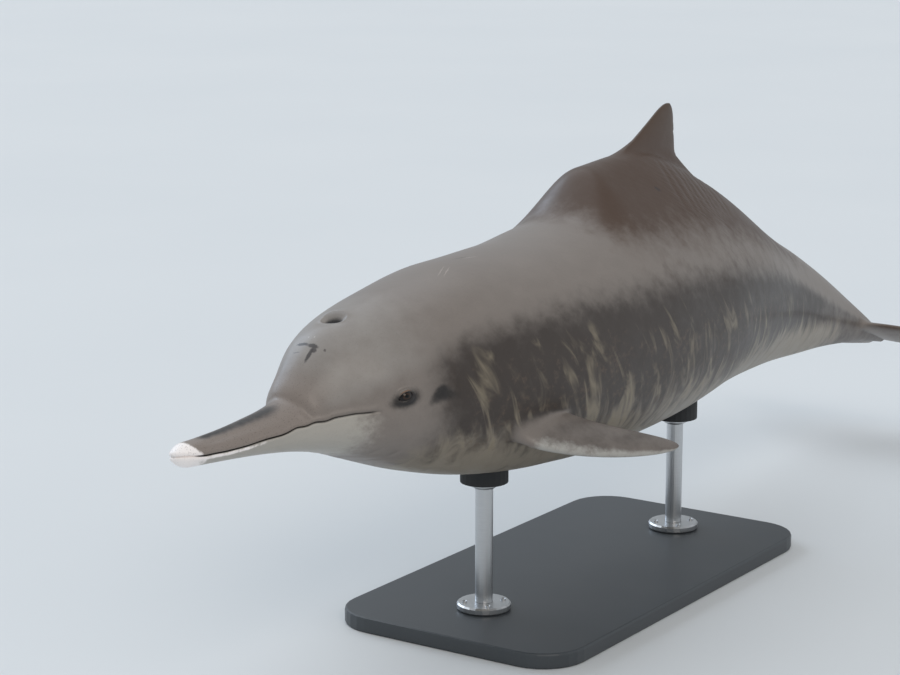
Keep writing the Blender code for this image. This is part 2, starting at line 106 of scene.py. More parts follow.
# A smooth curve through the stations that never overshoots between two of them.
def steadyCurve(rows, column):
    x = np.array([row[0] for row in rows])
    y = np.array([row[column] for row in rows])
    step = np.diff(x)
    slope = np.diff(y) / step
    tangent = np.zeros(len(x))
    tangent[0], tangent[-1] = slope[0], slope[-1]
    for i in range(1, len(step)):
        if slope[i - 1] * slope[i] > 0.0:
            w0 = 2.0 * step[i] + step[i - 1]
            w1 = step[i] + 2.0 * step[i - 1]
            tangent[i] = (w0 + w1) / (w0 / slope[i - 1] + w1 / slope[i])

    def value(at):
        i = np.clip(np.searchsorted(x, at) - 1, 0, len(step) - 1)
        t = np.clip((at - x[i]) / step[i], 0.0, 1.0)
        near = (1.0 + 2.0 * t) * (1.0 - t) ** 2 * y[i] + t * t * (3.0 - 2.0 * t) * y[i + 1]
        return near + step[i] * (t * (1.0 - t) ** 2 * tangent[i] - t * t * (1.0 - t) * tangent[i + 1])

    return value


backLine, bellyLine, halfWidth, widestLevel, keelShare = (steadyCurve(body["stations"], c) for c in range(1, 6))


def humpHeight(along):
    rise = smoothStep(body["humpStart"], body["humpFull"], along)
    grown = smoothStep(body["shoulderStart"], body["shoulderEnd"], along)
    shoulder = body["humpShoulder"] + (1.0 - body["humpShoulder"]) * grown
    return body["humpHeight"] * rise * shoulder * (1.0 - smoothStep(body["humpFall"], body["humpEnd"], along))


# How far the beak's blunt end has opened out, from 0 at its tip to 1.
def noseShare(along):
    return np.sqrt(1.0 - (1.0 - np.clip((along - body["beakTip"]) / body["noseRound"], 0.0, 1.0)) ** 2)


# A point of the plain body: the angle is in radians from the top, round by the left side.
def bareSkin(along, angle):
    back, belly, half, widest, keel = (f(along) for f in (backLine, bellyLine, halfWidth, widestLevel, keelShare))
    tip = noseShare(along)
    sine, cosine = np.sin(angle), np.cos(angle)
    side = np.sign(sine) * half * np.abs(sine) ** (1.0 + keel) * tip
    up = (widest + np.where(cosine > 0.0, back - widest, widest - belly) * cosine) * tip
    crest = smoothStep(0.0, 0.5, cosine) * np.exp(-1.2 * (side / body["humpHalfWidth"]) ** 2)
    return np.stack([along + 0.0 * side, side, up + humpHeight(along) * crest], -1)


# Height of the mouth line: it sags under the beak, curls up to the gape and then sinks into the throat.
mouth = {
    "straight": 0.20, "sag": 0.0087, "sagEnd": 0.10, "back": 0.006, "rise": (0.13, 0.18), "smile": 0.0050,
    "arch": 0.0052, "archRise": 0.24, "archFall": 0.312, "ripple": 0.0012, "rippleLength": 0.034,
    "throatFrom": 0.41, "throat": 0.025,
}


def mouthLevel(along):
    straight, gape = mouth["straight"], body["gape"]
    early = 0.6 * mouth["sagEnd"]
    sag = 0.8 * smoothStep(0.0, early, along) + 0.2 * smoothStep(early, mouth["sagEnd"], along)
    front = -mouth["sag"] * sag + (mouth["sag"] - mouth["back"]) * smoothStep(*mouth["rise"], along)
    arch = mouth["arch"] * smoothStep(straight, mouth["archRise"], along)
    arch *= 1.0 - smoothStep(mouth["archFall"], gape, along)
    ripple = mouth["ripple"] * np.cos(2.0 * np.pi * (along - 0.266) / mouth["rippleLength"]) * bell(along, 0.27, 0.04)
    smile = mouth["smile"] * smoothStep(straight, gape, along)
    return front + arch + ripple + smile - mouth["throat"] * smoothStep(gape, mouth["throatFrom"], along)


# Lips, creases and folds, as heights over the plain body.
lips = {"grooveDepth": 0.0034, "grooveWidth": 0.0012, "upper": 0.0017, "lower": 0.0013, "corner": 0.0022}
creases = {"melon": 0.0030, "melonAlong": 0.2445, "sweep": 0.020, "neck": 0.0009, "throat": 0.0010, "back": 0.0013}


def relief(along, angle, up):
    turn = np.abs(angle)
    tip = noseShare(along)
    level = up - mouthLevel(along) * tip
    mouth = 1.0 - smoothStep(body["gape"] - 0.006, body["gape"] + 0.010, along)
    beak = 1.0 - smoothStep(0.215, 0.275, along)
    top = 1.0 - smoothStep(1.15, 1.60, turn)
    height = -lips["grooveDepth"] * bell(level, 0.0, lips["grooveWidth"]) * mouth
    height += lips["upper"] * bell(level, 0.0052, 0.0042) * mouth
    height += lips["lower"] * bell(level, -0.0048, 0.0040) * mouth
    # the corner of the mouth is a small cushion with a dimple in front of it
    height += lips["corner"] * bell(along, body["gape"] + 0.012, 0.012) * bell(level, 0.002, 0.014)
    # the beak is flatter on its upper sides and has a low ridge along its top
    height += -0.0026 * beak * bell(turn, 0.85, 0.35) * smoothStep(0.03, 0.09, along)
    height += 0.0014 * beak * bell(turn, 0.0, 0.28) * smoothStep(0.03, 0.09, along)
    # crease between beak and melon, swept back down the cheeks
    crease = creases["melonAlong"] + creases["sweep"] * (turn / 1.4) ** 2
    height += -creases["melon"] * bell(along, crease, 0.0055) * top
    height += 0.0020 * bell(along, crease + 0.016, 0.012) * top
    # brow over the eye, hollow behind it, and soft folds of the neck and throat
    height += 0.0030 * bell(along, 0.400, 0.040) * bell(turn, 1.22, 0.16)
    height += -0.0035 * bell(along, 0.475, 0.030) * bell(turn, 1.55, 0.22)
    for k, foldAlong in enumerate((0.505, 0.534, 0.570)):
        swept = foldAlong + 0.030 * np.cos(turn * 1.3 + k)
        side = smoothStep(0.9, 1.4, turn) * (1.0 - smoothStep(2.2, 2.7, turn))
        height += -creases["neck"] * bell(along, swept, 0.0065) * side
    for k in range(4):
        swept = 0.300 + 0.034 * k + 0.030 * (np.pi - turn)
        height += -creases["throat"] * bell(along, swept, 0.005) * smoothStep(2.3, 2.7, turn)
    # shallow folds that run down the hump behind the fin, where the back arches
    for k in range(9):
        swept = 1.400 + 0.027 * k + 0.0025 * np.sin(7.0 * k) - 0.030 * turn + 0.004 * np.sin(9.0 * turn + 2.0 * k)
        side = smoothStep(0.06, 0.20, turn) * (1.0 - smoothStep(0.45 + 0.04 * (k % 3), 0.80, turn))
        height += -creases["back"] * bell(along, swept, 0.0065) * side
    # muscle along the back and flank, uneven blubber
    trunk = smoothStep(0.55, 0.80, along) * (1.0 - smoothStep(2.0, 2.3, along))
    height += 0.0022 * trunk * np.sin(6.1 * along + 1.3) * np.sin(2.0 * turn + 1.1 * along)
    height += 0.0009 * trunk * np.sin(17.0 * along + 3.0 * turn) * np.sin(4.0 * turn - 5.0 * along)
    height += -0.0040 * trunk * bell(turn, 2.45, 0.22) * bell(along, 0.80, 0.12)  # armpit
    # belly: navel, genital slit and vent
    under = bell(turn, np.pi, 0.045)
    height += -0.0040 * under * bell(along, 1.270, 0.012)
    height += -0.0050 * under * smoothStep(1.585, 1.605, along) * (1.0 - smoothStep(1.690, 1.712, along))
    height += -0.0040 * under * bell(along, 1.768, 0.011)
    return height


# The finished skin and its outward direction, both in the straight animal's own coordinates.
def skinAt(along, angle):
    along, angle = np.broadcast_arrays(np.asarray(along, float), np.asarray(angle, float))
    near = 0.0006
    point = bareSkin(along, angle)
    lengthwise = bareSkin(along + near, angle) - bareSkin(np.maximum(along - near, body["beakTip"]), angle)
    around = bareSkin(along, angle + near) - bareSkin(along, angle - near)
    outward = np.cross(lengthwise, around)
    size = np.linalg.norm(outward, axis=-1, keepdims=True)
    outward = np.where(size > 1e-12, outward / np.maximum(size, 1e-12), (-1.0, 0.0, 0.0))
    return point + outward * relief(along, angle, point[..., 2])[..., None], outward


# The bent axis: points with their back, left and up directions.
def spineTable():
    along = np.linspace(0.0, body["length"], body["spineSteps"] + 1)
    pitch, turn, roll = (np.radians(steadyCurve(body[rows], 1)(along)) for rows in ("pitch", "turn", "roll"))
    back = np.stack([np.cos(pitch) * np.cos(turn), np.cos(pitch) * np.sin(turn), np.sin(pitch)], 1)
    left = np.stack([np.sin(turn), -np.cos(turn), 0.0 * turn], 1)
    up = np.cross(left, back)
    rolledLeft = left * np.cos(roll)[:, None] + up * np.sin(roll)[:, None]
    rolledUp = up * np.cos(roll)[:, None] - left * np.sin(roll)[:, None]
    step = body["length"] / body["spineSteps"]
    points = np.vstack([np.zeros(3), np.cumsum((back[1:] + back[:-1]) * 0.5 * step, axis=0)])
    middle = np.array([np.interp(body["balanceAlong"], along, points[:, k]) for k in range(3)])
    return along, points + np.array([0.0, 0.0, body["axisHeight"]]) - middle, back, rolledLeft, rolledUp


spine = spineTable()


# Bends straight points onto the axis. It mirrors them, so faces are turned round afterwards.
def bend(straight):
    inside = np.clip(straight[:, 0], 0.0, body["length"])

    def read(rows):
        return np.stack([np.interp(inside, spine[0], rows[:, k]) for k in range(3)], 1)

    beyond = straight[:, :1] - inside[:, None]
    return (
        read(spine[1]) + read(spine[3]) * straight[:, 1:2] + read(spine[4]) * straight[:, 2:]
        + read(spine[2]) * beyond
    )


# The net of the skin: rings along the body, and columns round it that gather at the mouth line.
net = {
    "columns": 160, "mouthColumn": 44, "gather": 1.35,
    "headStep": 0.0028, "trunkStep": 0.0104, "foldStep": 0.0046, "tailStep": 0.0052,
}
halfColumns = net["columns"] // 2


def ringPlaces():
    places = list(body["beakTip"] + body["noseRound"] * (1.0 - np.cos(np.linspace(0.0, np.pi / 2.0, 13))))
    while places[-1] < body["length"] - 0.004:
        s = places[-1]
        step = net["headStep"] + (net["trunkStep"] - net["headStep"]) * smoothStep(0.46, 0.80, s)
        step += (net["foldStep"] - net["trunkStep"]) * smoothStep(1.32, 1.38, s) * (1.0 - smoothStep(1.60, 1.68, s))
        step += (net["tailStep"] - net["trunkStep"]) * smoothStep(2.15, 2.40, s)
        places.append(min(s + float(step), body["length"]))
    return np.array(places)


def columnAngle(along, column):
    share = np.abs(column - halfColumns) / halfColumns
    mouthShare = net["mouthColumn"] / halfColumns
    back, belly, widest = backLine(along), bellyLine(along), widestLevel(along)
    above = mouthLevel(along) - widest
    parting = np.arccos(np.clip(above / np.where(above > 0.0, back - widest, widest - belly), -1.0, 1.0))
    behind = smoothStep(body["headEnd"], body["headEnd"] + 0.14, along)
    parting = parting * (1.0 - behind) + mouthShare * np.pi * behind
    gather = net["gather"] + (1.0 - net["gather"]) * behind
    upper = parting * (1.0 - np.clip(1.0 - share / mouthShare, 0.0, 1.0) ** gather)
    lower = (np.pi - parting) * np.clip((share - mouthShare) / (1.0 - mouthShare), 0.0, 1.0) ** gather
    return np.sign(column - halfColumns) * (upper + lower)


ringAlong = ringPlaces()
ringCount = len(ringAlong) - 1
gridAlong, gridColumn = np.meshgrid(ringAlong, np.arange(net["columns"] + 1), indexing="ij")
gridAngle = columnAngle(gridAlong, gridColumn)
gridPoints = skinAt(gridAlong, gridAngle)[0]

skinMesh = bmesh.new()
cavityShadeLayer = skinMesh.verts.layers.float.new("cavityShade")
lidGlintLayer = skinMesh.verts.layers.float.new("lidGlint")
bladeLayer = skinMesh.verts.layers.float.new("blade")
edgeLayer = skinMesh.verts.layers.float.new("edge")
bmesh.ops.create_grid(skinMesh, x_segments=net["columns"], y_segments=ringCount, size=0.5)
knots = {}
for vert in skinMesh.verts:
    at = (round((vert.co.y + 0.5) * ringCount), round((vert.co.x + 0.5) * net["columns"]))
    knots[at] = vert
    vert.co = gridPoints[at]
print("body net:", ringCount, "rings of", net["columns"])


# Opens a rectangular window in the net and hands back its rim: from the middle of its front, round by
# its lower side (left of the midline on top of the body) and back.
def openWindow(firstAlong, lastAlong, low, high, side=1):
    first, last = int(np.searchsorted(ringAlong, firstAlong)), int(np.searchsorted(ringAlong, lastAlong))
    middle = (low + high) // 2
    rim = [(first, c) for c in range(middle, high)] + [(r, high) for r in range(first, last)]
    rim += [(last, c) for c in range(high, low, -1)] + [(r, low) for r in range(last, first, -1)]
    rim += [(first, c) for c in range(low, middle)]

    def column(c):
        return halfColumns + side * c

    doomed = set()
    for r in range(first, last):
        for c in range(low, high):
            doomed |= set(knots[r, column(c)].link_faces) & set(knots[r + 1, column(c + 1)].link_faces)
    bmesh.ops.delete(skinMesh, geom=list(doomed), context="FACES")
    at = [(r, column(c)) for r, c in rim]
    return [knots[k] for k in at], np.array([gridAlong[k] for k in at]), np.array([gridAngle[k] for k in at])


# Extrudes the rim of a window by one ring and moves the new ring to its places.
def nextRing(loop, places, marks=()):
    edges = [skinMesh.edges.get((a, b)) for a, b in zip(loop, loop[1:] + loop[:1])]
    made = bmesh.ops.extrude_edge_only(skinMesh, edges=edges)["geom"]
    fresh = {part for part in made if isinstance(part, bmesh.types.BMVert)}
    ring = [next(e.other_vert(v) for e in v.link_edges if e.other_vert(v) in fresh) for v in loop]
    for k, vert in enumerate(ring):
        vert.co = places[k]
        for layer, values in marks:
            vert[layer] = float(np.broadcast_to(values, len(ring))[k])
    return ring


# The eyes: lids stand up round each eyeball, folded above and below, and go round behind it.
eyes = {
    "along": 0.412, "angle": 83.5, "sunk": 0.0115, "radius": 0.0168, "lidThick": 0.0010,
    "halfLength": 0.0145, "upper": 0.0078, "lower": 0.0074, "tilt": 6.0,
    "window": (0.380, 0.444, 26, 40), "rings": 18, "blend": 0.0115,
    # each fold round the lids: height, distance from the rim, width, and its share under the eye
    "folds": ((-0.0016, 0.0052, 0.0013, 0.35), (0.0009, 0.0026, 0.0018, 1.0), (-0.0008, 0.0105, 0.0016, 1.0)),
    # each ring of the pocket: distance from the ball, turn past the rim, and least turn from the front
    "pocket": (
        (0.0008, -0.028, 0.0), (0.0004, -0.040, 0.0), (0.0001, -0.030, 0.0), (0.0002, 0.06, 0.0),
        (0.0003, 0.0, 1.75), (0.0003, 0.0, 2.35), (0.0003, 0.0, 2.85),
    ),
}
eyeFrames = {}


def eyeSocket(side):
    loop, alongs, angles = openWindow(*eyes["window"], side)
    eyeAngle = side * math.radians(eyes["angle"])
    here, outward = skinAt(eyes["along"], eyeAngle)
    near = 0.0005
    byAlong = (skinAt(eyes["along"] + near, eyeAngle)[0] - here) / near
    byAngle = (skinAt(eyes["along"], eyeAngle + near)[0] - here) / near
    backward = byAlong - outward * byAlong.dot(outward)
    backward /= np.linalg.norm(backward)
    upward = np.cross(outward, backward)
    upward *= np.sign(upward[2])
    centre = here - outward * eyes["sunk"]
    eyeFrames[side] = (centre, backward, upward, outward)
    jacobian = np.array([[byAlong @ backward, byAngle @ backward], [byAlong @ upward, byAngle @ upward]])
    unroll = np.linalg.inv(jacobian)
    count = len(loop)
    around = np.pi + 2.0 * np.pi * np.arange(count) / count
    cosine, sine = np.cos(around), np.sin(around)
    half = np.where(sine > 0.0, eyes["upper"], eyes["lower"])
    flatU = eyes["halfLength"] * cosine
    flatV = half * np.sign(sine) * np.abs(sine) ** 1.25
    tilt = math.radians(eyes["tilt"])
    almond = np.stack([
        flatU * math.cos(tilt) - flatV * math.sin(tilt), flatU * math.sin(tilt) + flatV * math.cos(tilt),
    ], 1)
    shift = almond @ unroll.T
    rimAlong, rimAngle = eyes["along"] + shift[:, 0], eyeAngle + shift[:, 1]
    outerRadius = eyes["radius"] + eyes["lidThick"]
    rimRise = np.sqrt(outerRadius**2 - (almond**2).sum(1)) - eyes["sunk"]
    above = np.clip(sine, 0.0, 1.0)
    for k in range(1, eyes["rings"] + 1):
        t = 1.0 - (1.0 - k / eyes["rings"]) ** 1.5
        points = skinAt(alongs + (rimAlong - alongs) * t, angles + (rimAngle - angles) * t)[0]
        flat = np.stack([(points - here) @ backward, (points - here) @ upward], 1)
        away = np.linalg.norm(flat - almond, axis=1)
        plane = (points - here) @ outward
        fall = bell(away, 0.0, eyes["blend"])
        rise = (rimRise - plane * (1.0 - smoothStep(0.0, 0.02, away))) * fall
        for height, reach, width, below in eyes["folds"]:
            rise += height * bell(away, reach, width) * (below + (1.0 - below) * above)
        # painted highlight: a lighter tan strip along the upper lid's edge, where the fold catches the light
        lidGlint = bell(away, 0.0012, 0.0016) * above
        loop = nextRing(loop, points + outward * rise[:, None], [(lidGlintLayer, lidGlint)])
    # the lid's edge rolls over, then the pocket follows the ball round to its back
    rimTurn = np.arctan2(np.linalg.norm(almond, axis=1), rimRise + eyes["sunk"])
    flatDirection = almond / np.linalg.norm(almond, axis=1, keepdims=True)
    heading = flatDirection[:, :1] * backward + flatDirection[:, 1:] * upward
    for gap, past, least in eyes["pocket"]:
        turn = rimTurn + past if least == 0.0 else np.maximum(rimTurn, least)
        reach = eyes["radius"] + gap
        places = centre + reach * (np.cos(turn)[:, None] * outward + np.sin(turn)[:, None] * heading)
        # the pocket behind the lids is half darkened with painted shade
        loop = nextRing(loop, places, [(lidGlintLayer, 0.0), (cavityShadeLayer, 0.5)])
    bmesh.ops.pointmerge(skinMesh, verts=loop, merge_co=Vector(centre - outward * eyes["radius"]))


for side in (1, -1):
    eyeSocket(side)
print("eye sockets made")

# The blowhole, open for a breath: a rounded hole a little to the left. Its front rim dips in the middle,
# its rear lip stands up, and its rear wall slopes down to a deep slot under the front rim.
blowhole = {
    "along": 0.3925, "left": 0.0155, "halfLength": 0.0145, "halfWidth": 0.0255, "turned": 8.0, "squareness": 2.4,
    "lip": 0.0056, "dip": 0.0034, "slotShare": 0.70, "slotWide": 0.55, "window": (0.352, 0.438, -6, 10), "rings": 12,
    "steps": (  # how wide each ring is, how deep it lies, and how much painted shade darkens it
        (0.96, 0.0004, 0.0), (0.90, 0.0011, 0.0), (0.81, 0.0023, 0.0), (0.70, 0.0040, 0.05), (0.57, 0.0062, 0.35),
        (0.42, 0.0092, 1.0), (0.24, 0.0122, 1.0), (0.0, 0.0140, 1.0),
    ),
}


def makeBlowhole():
    loop, alongs, angles = openWindow(*blowhole["window"])
    turned = math.radians(blowhole["turned"])
    places = bareSkin(alongs, angles)
    forward, leftward = alongs - blowhole["along"], places[:, 1] - blowhole["left"]
    u = forward * math.cos(turned) - leftward * math.sin(turned)
    v = forward * math.sin(turned) + leftward * math.cos(turned)
    around = np.arctan2(v / blowhole["halfWidth"], -u / blowhole["halfLength"])
    power = 2.0 / blowhole["squareness"]
    rimU = -blowhole["halfLength"] * np.sign(np.cos(around)) * np.abs(np.cos(around)) ** power
    rimV = blowhole["halfWidth"] * np.sign(np.sin(around)) * np.abs(np.sin(around)) ** power
    front = np.clip(np.cos(around), 0.0, 1.0)
    rear = np.clip(-np.cos(around), 0.0, 1.0)

    # the rim drawn in by a share of its width, towards the slot under the front rim
    def ring(width):
        u = rimU * width - blowhole["slotShare"] * blowhole["halfLength"] * (1.0 - width)
        v = rimV * width ** blowhole["slotWide"]
        along = blowhole["along"] + u * math.cos(turned) + v * math.sin(turned)
        side = blowhole["left"] - u * math.sin(turned) + v * math.cos(turned)
        lean = (np.abs(side) / halfWidth(along)) ** (1.0 / (1.0 + keelShare(along)))
        return along, np.sign(side) * np.arcsin(lean)

    rimAlong, rimAngle = ring(1.0)
    rimPoints = skinAt(rimAlong, rimAngle)[0]
    rimRise = blowhole["lip"] * rear**1.3 - blowhole["dip"] * front**1.5
    for k in range(1, blowhole["rings"] + 1):
        t = 1.0 - (1.0 - k / blowhole["rings"]) ** 1.4
        points, outward = skinAt(alongs + (rimAlong - alongs) * t, angles + (rimAngle - angles) * t)
        away = np.linalg.norm(points - rimPoints, axis=1)
        rise = rimRise * np.exp(-((away / (0.010 + 0.006 * rear)) ** 2)) + 0.0010 * bell(away, 0.0022, 0.0020)
        loop = nextRing(loop, points + outward * rise[:, None])
    # the inner rings are darkened: painted shade down inside the hole
    for width, sink, darkToneAndShade in blowhole["steps"]:
        points, outward = skinAt(*ring(width))
        rise = rimRise * (1.0 - smoothStep(0.0, 0.012, sink)) - sink
        loop = nextRing(loop, points + outward * rise[:, None], [(cavityShadeLayer, darkToneAndShade)])


makeBlowhole()
print("blowhole made")


# Half thickness of a fin along its chord: blunt in front, thin behind.
def bladeProfile(share):
    swell = 2.6 * np.sqrt(share) * (1.0 - share) ** 0.8 * 0.62
    return swell + 0.10 * np.sqrt(np.maximum(1.0 - (2.0 * share - 1.0) ** 8, 0.0))


# How full a fin still is at a share of its height, 0 at the very tip.
def finTip(fin, reach):
    return math.sqrt(max(1.0 - reach ** fin["tipRound"], 0.0))


backFin = {
    "front": 1.310, "run": 0.185, "bow": 0.66, "tip": 1.514, "rear": 1.529, "foot": 0.070, "footShare": 0.30,
    "height": 0.124, "thick": 0.015, "edgeWidth": 0.12,
    "window": (1.275, 1.612, -3, 3), "firstLevel": 0.022, "rings": 26, "low": -0.030, "tipRound": 12, "taper": 0.55,
    "nicks": ((0.0022, 0.55, 0.030), (0.0015, 0.74, 0.020)),  # worn into the rear edge: depth, height, width
}


def backFinSection(height, share, face, side):
    rise = max(height, 0.0) / backFin["height"]
    tip = finTip(backFin, rise)
    lead = backFin["front"] + backFin["run"] * rise**backFin["bow"]
    trail = backFin["rear"] + backFin["foot"] * (1.0 - min(rise / backFin["footShare"], 1.0)) ** 2.6
    trail -= sum(depth * bell(rise, at, width) for depth, at, width in backFin["nicks"])
    lead, trail = (x * tip + backFin["tip"] * (1.0 - tip) for x in (lead, trail))
    thick = backFin["thick"] * (1.0 - backFin["taper"] * rise) * (0.35 + 0.65 * tip) * (tip > 0.0)
    x = lead + (trail - lead) * share
    return np.stack([x, face * thick * bladeProfile(share), backLine(x) + humpHeight(x) + height], 1)


flippers = {
    "along": 0.635, "angle": 125.4, "height": 0.230, "sweep": 0.208, "chord": 0.128, "thick": 0.020,
    "droop": 38.9, "twist": 16.7, "edgeWidth": 0.24, "tipRound": 4, "taper": 0.70, "narrow": 0.25,
    "window": (0.620, 0.785, 50, 59), "firstLevel": 0.036, "rings": 34, "low": -0.070,
}


def flipperSection(span, share, face, side):
    root = bareSkin(flippers["along"] + 0.06, math.radians(flippers["angle"]))
    droop, twist = math.radians(flippers["droop"]), math.radians(flippers["twist"])
    reach = max(span, 0.0) / flippers["height"]
    tip = finTip(flippers, reach)
    chord = flippers["chord"] * (1.0 - flippers["narrow"] * reach)
    lead = flippers["sweep"] * reach**1.4
    lead, trail = (x * tip + (lead + 0.55 * chord) * (1.0 - tip) for x in (lead, lead + chord))
    thick = flippers["thick"] * (1.0 - flippers["taper"] * reach) * (0.4 + 0.6 * tip) * (tip > 0.0)
    x = lead + (trail - lead) * share
    y = -face * (thick + 0.0010 * tip) * bladeProfile(share)
    out = root[1] - 0.004 + span * math.cos(droop) + y * math.sin(droop)
    level = root[2] - span * math.sin(droop) + y * math.cos(droop) + x * math.sin(twist)
    return np.stack([flippers["along"] + x * math.cos(twist), side * out, level], 1)


flukes = {
    "front": 2.392, "tip": 2.660, "sweep": 0.240, "height": 0.330, "thick": 0.014, "droop": 0.020, "edgeWidth": 0.08,
    "window": (2.384, 2.590, 30, 50), "firstLevel": 0.048, "rings": 38, "low": -0.010, "tipRound": 6, "taper": 0.72,
    "lobe": 0.040, "hollow": 0.032, "hook": 0.060, "nicks": ((0.0030, 0.46, 0.020), (0.0022, 0.63, 0.015)),
}


def flukeSection(span, share, face, side):
    reach = max(span, 0.0) / flukes["height"]
    tip = finTip(flukes, reach)
    lead = flukes["front"] + flukes["sweep"] * reach**1.35
    lobe = flukes["lobe"] * smoothStep(0.0, 0.16, reach) - flukes["hollow"] * smoothStep(0.22, 0.75, reach)
    lobe -= sum(depth * bell(reach, at, width) for depth, at, width in flukes["nicks"])
    trail = body["length"] - 0.002 + lobe + flukes["hook"] * smoothStep(0.60, 1.0, reach)
    lead, trail = (x * tip + flukes["tip"] * (1.0 - tip) for x in (lead, trail))
    thick = (flukes["thick"] * (1.0 - flukes["taper"] * reach) * (0.5 + 0.5 * tip) + 0.0008) * (tip > 0.0)
    x = lead + (trail - lead) * share
    y = -face * thick * bladeProfile(share)
    return np.stack([x, side * span + 0.0 * x, y - flukes["droop"] * reach**2], 1)


# How far a point lies under the plain body's skin.
def depthInBody(point):
    along = min(float(point[0]), body["length"] - 0.005)
    centre = float(widestLevel(along))
    ring = bareSkin(np.full(121, along), np.linspace(0.0, 2.0 * np.pi, 121))
    turns = np.unwrap(np.arctan2(ring[:, 1], ring[:, 2] - centre))
    radii = np.hypot(ring[:, 1], ring[:, 2] - centre)
    turn = math.atan2(point[1], point[2] - centre) % (2.0 * math.pi)
    return np.interp(turn, turns, radii) - math.hypot(point[1], point[2] - centre)


# Grows a fin out of the skin: a soft fillet from the window's rim, then sections out to the tip.
def growFin(fin, section, side=1):
    loop, alongs, angles = openWindow(*fin["window"], side)
    start = np.array([vert.co for vert in loop])
    turn = np.arange(len(loop)) / len(loop)
    chordwise = np.where(turn <= 0.5, turn * 2.0, 2.0 - turn * 2.0)
    share = np.clip(chordwise - 0.8 * np.sin(2.0 * np.pi * chordwise) / (2.0 * np.pi), 0.0, 1.0)
    face = np.where(turn < 0.5, 1.0, -1.0) * (share > 0.0)
    low = np.full(len(loop), fin["low"])
    high = np.full(len(loop), fin["firstLevel"])
    for halving in range(16):
        middle = (low + high) / 2.0
        inside = np.array([
            depthInBody(section(middle[k], share[k:k + 1], face[k:k + 1], side)[0]) > 0.0 for k in range(len(loop))
        ])
        low, high = np.where(inside, middle, low), np.where(inside, high, middle)
    foot = np.array([section(low[k], share[k:k + 1], face[k:k + 1], side)[0] for k in range(len(loop))])
    first = section(fin["firstLevel"], share, face, side)
    edge = bell(share, 0.0, fin["edgeWidth"])
    fillet = list(loop)
    steps = 7
    for k in range(1, steps + 1):
        t = k / steps
        places = (1.0 - t) ** 2 * start + 2.0 * t * (1.0 - t) * foot + t * t * first
        reach = t * fin["firstLevel"] / fin["height"]
        loop = nextRing(loop, places, [(bladeLayer, reach), (edgeLayer, edge * t)])
        fillet += loop if k < steps - 1 else []
    for k in range(1, fin["rings"] + 1):
        level = fin["firstLevel"] + (fin["height"] - fin["firstLevel"]) * math.sin(0.5 * math.pi * k / fin["rings"])
        marks = [(bladeLayer, level / fin["height"]), (edgeLayer, edge)]
        loop = nextRing(loop, section(level, share, face, side), marks)
    middle = sum((vert.co for vert in loop), Vector()) / len(loop)
    bmesh.ops.pointmerge(skinMesh, verts=loop, merge_co=middle)
    for passing in range(6):
        bmesh.ops.smooth_vert(
            skinMesh, verts=fillet, factor=0.5, use_axis_x=True, use_axis_y=True, use_axis_z=True
        )


growFin(backFin, backFinSection)
for side in (1, -1):
    growFin(flippers, flipperSection, side)
    growFin(flukes, flukeSection, side)
print("fins grown")

# Close the seam under the belly, the nose and the notch of the flukes.
notch = [knots[ringCount, c] for c in range(net["columns"] + 1)]
bmesh.ops.pointmerge(skinMesh, verts=notch, merge_co=Vector((body["length"] + 0.003, 0.0, 0.0)))
bmesh.ops.remove_doubles(skinMesh, verts=skinMesh.verts, dist=0.000002)
bmesh.ops.recalc_face_normals(skinMesh, faces=skinMesh.faces)


# Turns a finished bmesh into a smooth object with its material, that rides on the only body.
def addPiece(name, mesh, material, replaced=()):
    data = bpy.data.meshes.new(name)
    mesh.to_mesh(data)
    mesh.free()
    data.shade_smooth()
    data.materials.append(material)
    piece = bpy.data.objects.new(name, data)
    scene.collection.objects.link(piece)
    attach(piece, "root")
    if replaced:
        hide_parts(*replaced)
    return piece


# sRGB hex to the linear colour that the shaders take.
def linear(code):
    channels = [int(code[k:k + 2], 16) / 255.0 for k in (1, 3, 5)]
    return [c / 12.92 if c <= 0.04045 else ((c + 0.055) / 1.055) ** 2.4 for c in channels] + [1.0]


# Adds one node with its settings and links. An input's value is a number, a colour or another socket.
def addNode(tree, kind, inputs=None, **settings):
    node = tree.nodes.new("ShaderNode" + kind)
    for name, value in settings.items():
        setattr(node, name, value)
    for name, value in (inputs or {}).items():
        if isinstance(value, bpy.types.NodeSocket):
            tree.links.new(value, node.inputs[name])
        else:
            node.inputs[name].default_value = value
    return node


def newMaterial(name):
    material = bpy.data.materials.new(name)
    material.use_nodes = True
    tree = material.node_tree
    return material, tree, tree.nodes["Principled BSDF"]


# Wet skin of a living humpback dolphin: smooth, rubbery, grey-brown, with a thin film of water that
# gives a clear coat's gloss. Sizes are in millimetres.
skin = {
    # the melon colour is a painted sky reflection on the top of the head, and the hump colour adds painted shade to
    # the hump's own brown
    "back": "#756c65", "backPale": "#867d76", "melon": "#9c9893", "hump": "#493527", "fin": "#4a382a",
    # the flank colour is painted shade; the mid and patch colours are painted rippling light on the lower flank
    "flank": "#382f29", "mid": "#5b4b3e", "patch": "#857a67", "belly": "#8d8375", "jaw": "#aaa49b",
    # the dark colour is dark skin and painted shade, the lid colour carries a painted highlight on the lid fold, and
    # the edge colour a painted highlight on the back fin's leading edge
    "tip": "#f8f0ec", "beak": "#857a72", "darkToneAndShade": "#1d1816", "lidGlint": "#9a7356", "edge": "#a3a09a",
    "freckle": "#4a3d36", "scar": "#2e2624", "scuff": "#3a302d", "scratch": "#4b403a", "graze": "#b3a9a0",
    "spot": "#b5aea8", "rake": "#a99f97", "oldRake": "#a1968d",
    "mottleSize": 38.0, "speckleSize": 2.6, "blotchSize": 14.0,
    "roughness": 0.52, "coat": 0.30, "coatRoughness": 0.27, "ior": 1.40,
}

